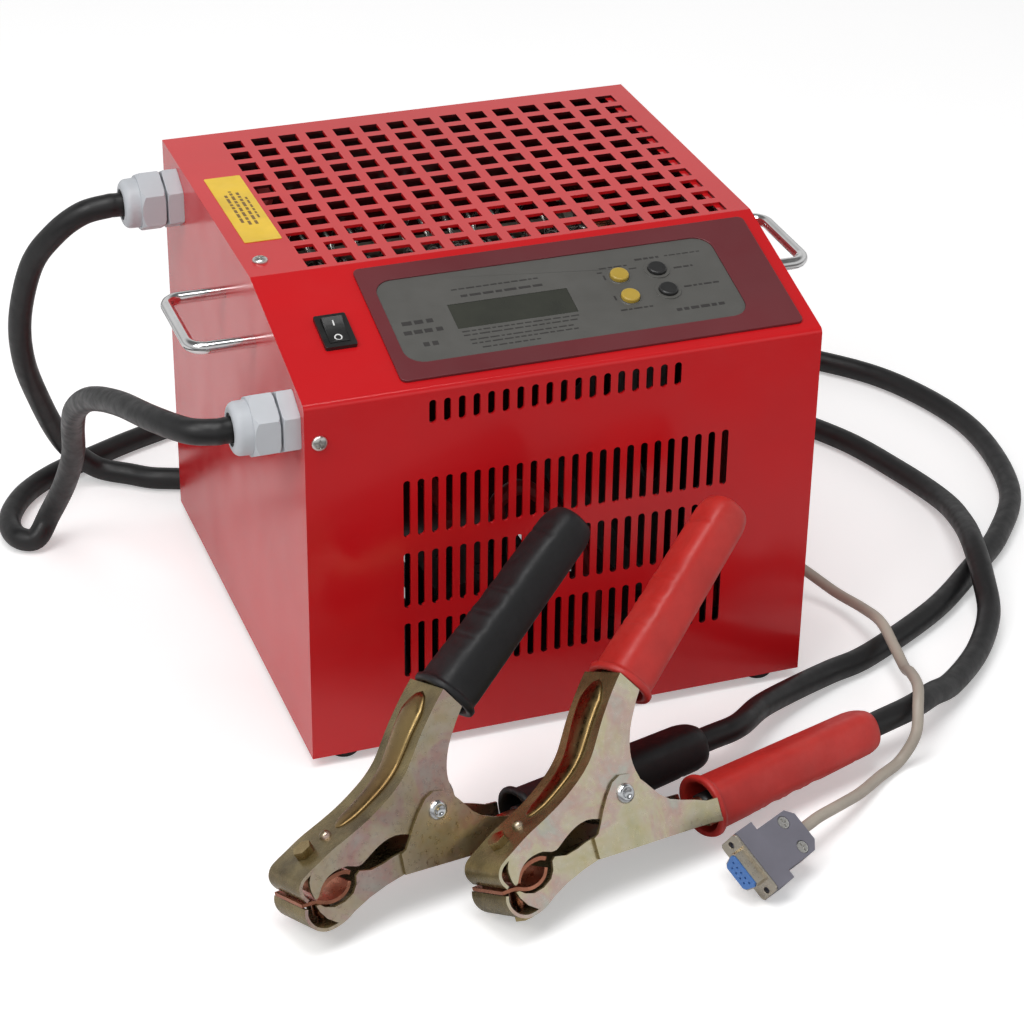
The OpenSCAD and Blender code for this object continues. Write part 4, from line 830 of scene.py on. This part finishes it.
def jaw_bead(clamp):
    """Pressed bead on the back of the upper jaw, narrowing along it and fading at both ends."""
    line = curve([(u, v, 0) for u, v in JAW_BACK], steps=8)[5:]
    last = len(line) - 1
    verts = []
    for j, point in enumerate(line):
        tangent = (line[min(j + 1, last)] - line[max(j - 1, 0)]).normalized()
        normal = Vector((tangent.y, -tangent.x, 0))
        if normal.dot(Vector((-1, 1, 0))) < 0:
            normal = -normal
        f = j / last
        fade = min(1.0, f / 0.10) ** 0.5 * min(1.0, (1 - f) / 0.10) ** 0.5
        half_width = (8.6 - 4.2 * f) * fade + 0.05
        height = (2.9 - 1.2 * f) * fade
        section = []  # (across, outward)
        for k in range(BEAD_STEPS + 1):
            angle = math.pi * k / BEAD_STEPS
            rise = height * math.sin(angle) ** 0.85 if 0 < k < BEAD_STEPS else -0.02
            section.append((-half_width * math.cos(angle), rise))
        section += [(half_width * 0.7, -0.6), (-half_width * 0.7, -0.6)]
        for across, outward in section:
            spot = point + normal * outward
            verts.append(clamp.place(spot.x, spot.y, across))
    obj = mesh_obj(f"{clamp.colour}_jaw_bead", verts, capped(len(line), BEAD_STEPS + 3),
                   "jaw_bead", f"{clamp.colour}_clamp_upper", "jaw_zinc")
    face_outward(obj)


for clamp in CLAMPS:
    jaw_bead(clamp)

# ------------------------------------------------------------------ pivot rivets
RIVET_SIDES = 48
RIVET_HALF = 14 + 0.15 + 1.5  # from the clamp's middle plane to the foot of a head
HEAD_MIDDLE = 0.8
# the dished head from its middle outward: radius, height
HEAD = [(0.8, 0.82), (1.5, 1.05), (2.0, 1.5), (2.4, 1.85), (2.9, 2.0), (3.4, 1.85), (3.9, 1.45),
        (4.3, 0.95), (4.52, 0.55), (4.58, 0.25), (4.5, 0.03), (4.0, 0.0)]


def rivet(clamp):
    """Shank with two dished heads."""
    profile = [(r, RIVET_HALF + h) for r, h in HEAD]
    profile += [(r, -RIVET_HALF - h) for r, h in reversed(HEAD)]
    count = RIVET_SIDES
    verts = [clamp.place(0, 0, RIVET_HALF + HEAD_MIDDLE)]
    verts += [clamp.place(r * c, r * s, n) for r, n in profile for c, s in circle(count)]
    pole = len(verts)
    verts.append(clamp.place(0, 0, -RIVET_HALF - HEAD_MIDDLE))
    last = pole - count
    faces = [(0, 1 + k, 1 + (k + 1) % count) for k in range(count)]
    faces += bands(len(profile), count, flip=True, first=1)
    faces += [(last + k, pole, last + (k + 1) % count) for k in range(count)]
    obj = mesh_obj(f"{clamp.colour}_pivot_rivet", verts, faces, "rivet_steel", "tester",
                   "rivet_steel")
    face_outward(obj)
    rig.replaces(obj, f"{clamp.colour}_rivet")


for clamp in CLAMPS:
    rivet(clamp)

# ------------------------------------------------------------------ generic print: plain dashes
PANEL_FRONT_Z, PANEL_RISE, PANEL_DEPTH = 187, 24, 87
PANEL_TILT = math.atan2(PANEL_RISE, PANEL_DEPTH)
CASING_TOP = PANEL_FRONT_Z + PANEL_RISE
PRINT_THICK = 0.04
dash_rng = random.Random(11)


def on_panel(x, y, z):
    """x to the right, y up the sloped panel, z out of it."""
    return place((x, y * math.cos(PANEL_TILT) - z * math.sin(PANEL_TILT),
                  PANEL_FRONT_Z + y * math.sin(PANEL_TILT) + z * math.cos(PANEL_TILT)))


def on_top(x, y, z):
    return place((x, y, CASING_TOP + z))


def blocks(name, rects, put, bottom, mat, slot):
    """Thin raised blocks; rects are (x0, y0, x1, y1) in the plane that put() maps."""
    verts, faces = [], []
    for x0, y0, x1, y1 in rects:
        b = len(verts)
        verts += [put(x, y, z) for z in (bottom, bottom + PRINT_THICK)
                  for x, y in ((x0, y0), (x1, y0), (x1, y1), (x0, y1))]
        faces += [(b + 3, b + 2, b + 1, b), (b + 4, b + 5, b + 6, b + 7)]
        faces += band(b, b + 4, 4)
    mesh_obj(name, verts, faces, mat, "tester", slot, smooth=False)


def dashes(x0, x1, y, height, shortest=1.4, longest=4.2, gap=0.8):
    """A row of dashes of random length from x0 to x1."""
    rects = []
    x = x0
    while x < x1 - shortest * 0.6:
        width = min(dash_rng.uniform(shortest, longest), x1 - x)
        rects.append((x, y - height / 2, x + width, y + height / 2))
        x += width + gap
    return rects


def rows(table):
    return [rect for row in table for rect in dashes(*row)]


# rows hold the arguments of dashes(), marks are (x0, y0, x1, y1)
TITLE_ROWS = [(88, 131, 61.5, 0.9), (91, 131, 56.5, 1.5, 3, 6, 1.1)]
KEY_MARKS = [
    (58.5, 42.0, 63.2, 44.6), (64.4, 42.0, 68.6, 44.6), (70.2, 42.0, 73.4, 44.6),
    (57.6, 35.6, 61.4, 38.2), (62.4, 35.6, 66.4, 38.2), (67.4, 35.6, 71.2, 38.2),
    (73.0, 35.6, 76.2, 38.2), (64.2, 26.6, 67.0, 29.4), (68.4, 26.6, 71.2, 29.4)]
TEXT_ROWS = [(x0, x1, y, 0.8, 1.6, 5.0, 0.9) for x0, x1, y in (
    (84, 142, 32.6), (84, 139, 30.0), (86, 136, 26.6), (86, 138, 24.0), (90, 118, 20.8))]
RIGHT_ROWS = [
    (161, 175, 61.6, 0.8), (159, 162.6, 58.8, 0.8), (175, 180, 58.8, 0.8),
    (161, 177, 31.4, 1.0), (180, 193, 64.4, 1.3), (195, 213, 64.4, 0.7),
    (196.4, 206, 55.2, 1.1), (196.4, 214, 41.4, 1.1)]
TICKS = [(161.0, 53.4, 161.9, 56.6), (161.0, 38.6, 161.9, 41.8)]
CORNER_ROWS = [(187, 211, 26.4, 1.9, 2.0, 4.6, 1.0)]
panel_print = (rows(TITLE_ROWS) + KEY_MARKS + rows(TEXT_ROWS) + rows(RIGHT_ROWS) + TICKS
               + rows(CORNER_ROWS))
blocks("panel_print", panel_print, on_panel, 0.9, "print_grey", "panel_grey")

# label lines run along y: x of the line, y from, y to, line height
LABEL_LINES = [(12.6, 146, 180, 1.5), (15.6, 143, 184, 1.5), (18.8, 143, 184, 1.5),
               (21.6, 150, 176, 1.1)]
label_print = [(x - height / 2, start, x + height / 2, end)
               for x, y0, y1, height in LABEL_LINES
               for start, _, end, _ in dashes(y0, y1, 0, 1, shortest=2.2, longest=5.6, gap=1.2)]
blocks("label_print", label_print, on_top, 0.3, "print_dark", "label_yellow")

# ------------------------------------------------------------------ rocker marks
ROCKER_TILT = math.radians(8)
MARK_BOTTOM = 4.0
BAR_X, BAR_Y, BAR_TOP = 0.33, (2.62, 5.78), 4.32  # half width, ends and top of the I
RING_Y, RING_INNER, RING_OUTER, RING_TOP = -4.4, 1.27, 1.88, 4.16
RING_STEPS = 40


def on_paddle(x, y, z):
    """Paddle millimetres, tilted on the panel, to the row frame."""
    cos, sin = math.cos(ROCKER_TILT), math.sin(ROCKER_TILT)
    return on_panel(27.5 + x, 44.8 + (y * cos - z * sin), -1.5 + (y * sin + z * cos))


def rocker_marks():
    """White fill of the rocker's I and O."""
    low, high = BAR_Y
    verts = [on_paddle(x, y, z)
             for x, y in ((-BAR_X, low), (BAR_X, low), (BAR_X, high), (-BAR_X, high))
             for z in (MARK_BOTTOM, BAR_TOP)]
    faces = [(1, 3, 5, 7), (6, 4, 2, 0)]
    for k in range(4):
        k2 = (k + 1) % 4
        faces.append((2 * k, 2 * k2, 2 * k2 + 1, 2 * k + 1))
    base = len(verts)
    section = ((RING_INNER, MARK_BOTTOM), (RING_OUTER, MARK_BOTTOM),
               (RING_OUTER, RING_TOP), (RING_INNER, RING_TOP))
    verts += [on_paddle(r * c, RING_Y + r * s, z) for c, s in circle(RING_STEPS)
              for r, z in section]
    for k in range(RING_STEPS):
        faces += band(base + 4 * k, base + 4 * ((k + 1) % RING_STEPS), 4, flip=True)
    face_outward(mesh_obj("rocker_marks", verts, faces, "mark_white", "rocker", "switch_black",
                          smooth=False))


rocker_marks()


# ------------------------------------------------------------------ stage
def stage_paper():
    m = Mat("stage_paper", Specular_IOR_Level=0.2)
    pale = m.mix(m.cloud(scale=3, detail=2), (0.86, 0.86, 0.86), (0.88, 0.88, 0.88))
    # painted shade: glossy rays see the floor in front of the casing dark, as if shaded under a table's edge, so the
    # mirror-like paint reflects it darker
    rays = m.add("LightPath").outputs
    y = m.add("SeparateXYZ", {"Vector": m.coords}).outputs["Y"]
    front_shade = m.remap(y, to=(1, 0), of=(-0.42, -0.10))
    dark = m.add("Math", {0: front_shade, 1: rays["Is Glossy Ray"]}, operation="MULTIPLY")
    # the dark floor colour mixed in here is painted shade, seen only in reflections
    m.set(Base_Color=m.mix(dark.outputs["Value"], pale, (0.16, 0.15, 0.15)),
          Roughness=m.cloud(scale=40, detail=2, to=(0.55, 0.65)),
          Emission_Color=(1, 1, 1, 1),
          Emission_Strength=m.remap(rays["Is Camera Ray"], to=(0.0, 0.35), of=(0, 1)))


def studio_world():
    """Bright round the horizon, darker overhead, plain white to the camera."""
    world = bpy.data.worlds.new("studio")
    bpy.context.scene.world = world
    world.use_nodes = True
    tree = world.node_tree
    coords = add(tree, "TexCoord").outputs["Generated"]
    height = add(tree, "SeparateXYZ", {"Vector": coords}).outputs["Z"]
    # sine of the elevation, brightness
    stops = ((0.0, 0.60), (0.28, 0.95), (0.52, 0.85), (0.72, 0.20))
    sky = add_ramp(tree, height, [(position, (c, c, c)) for position, c in stops])
    camera_ray = add(tree, "LightPath").outputs["Is Camera Ray"]
    seen = add(tree, "Mix", {0: camera_ray, 6: sky, 7: (1, 1, 1, 1)}, data_type="RGBA")
    background = tree.nodes["Background"]
    feed(tree, seen.outputs[2], background.inputs["Color"])
    background.inputs["Strength"].default_value = 0.8


def area_light(name, location, size, power, target=(0, 0, 0.1)):
    light = bpy.data.lights.new(name, "AREA")
    light.shape = "SQUARE"
    light.size = size
    light.energy = power
    obj = bpy.data.objects.new(name, light)
    obj.location = location
    obj.rotation_mode = "QUATERNION"
    obj.rotation_quaternion = (Vector(location) - Vector(target)).to_track_quat("Z", "Y")
    bpy.context.scene.collection.objects.link(obj)
    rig.stage(obj)


FLOOR_HALF, FLOOR_DROP = 6, -0.0004  # metres; just under the feet
stage_paper()
corners = [(x * FLOOR_HALF, y * FLOOR_HALF, FLOOR_DROP)
           for x, y in ((-1, -1), (1, -1), (1, 1), (-1, 1))]
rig.stage(mesh_obj("stage_floor", corners, [(0, 1, 2, 3)], "stage_paper", smooth=False))
studio_world()
area_light("key", location=(-1.3, -0.7, 1.7), size=1.0, power=15)
area_light("top", location=(-0.25, -0.35, 2.3), size=1.2, power=22)

# ------------------------------------------------------------------ camera
CAMERA_FROM_CORNER = Vector((-0.2929103, -1.0754176, 0.7771653))  # metres
CAMERA_RIGHT = Vector((0.94220133, -0.33481656, 0.01243072))
CAMERA_UP = Vector((0.15725723, 0.47468643, 0.86599247))
CAMERA_BACK = Vector((-0.29584931, -0.81398444, 0.49990251))

lens = bpy.data.cameras.new("camera")
lens.sensor_width = 36.0
lens.lens = 100.86141797
lens.clip_start = 0.05
lens.clip_end = 30
camera = bpy.data.objects.new("camera", lens)
turn = Matrix((CAMERA_RIGHT, CAMERA_UP, CAMERA_BACK)).transposed()
camera.matrix_world = Matrix.Translation(ORIGIN + CAMERA_FROM_CORNER) @ turn.to_4x4()
scene = bpy.context.scene
scene.collection.objects.link(camera)
scene.camera = camera
scene.view_settings.view_transform = "Standard"
scene.view_settings.look = "None"

with open("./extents.json", "w") as f:
    json.dump({"cad": CAD_BOX, "visual": [list(v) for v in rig.bounds()]}, f, indent=1)
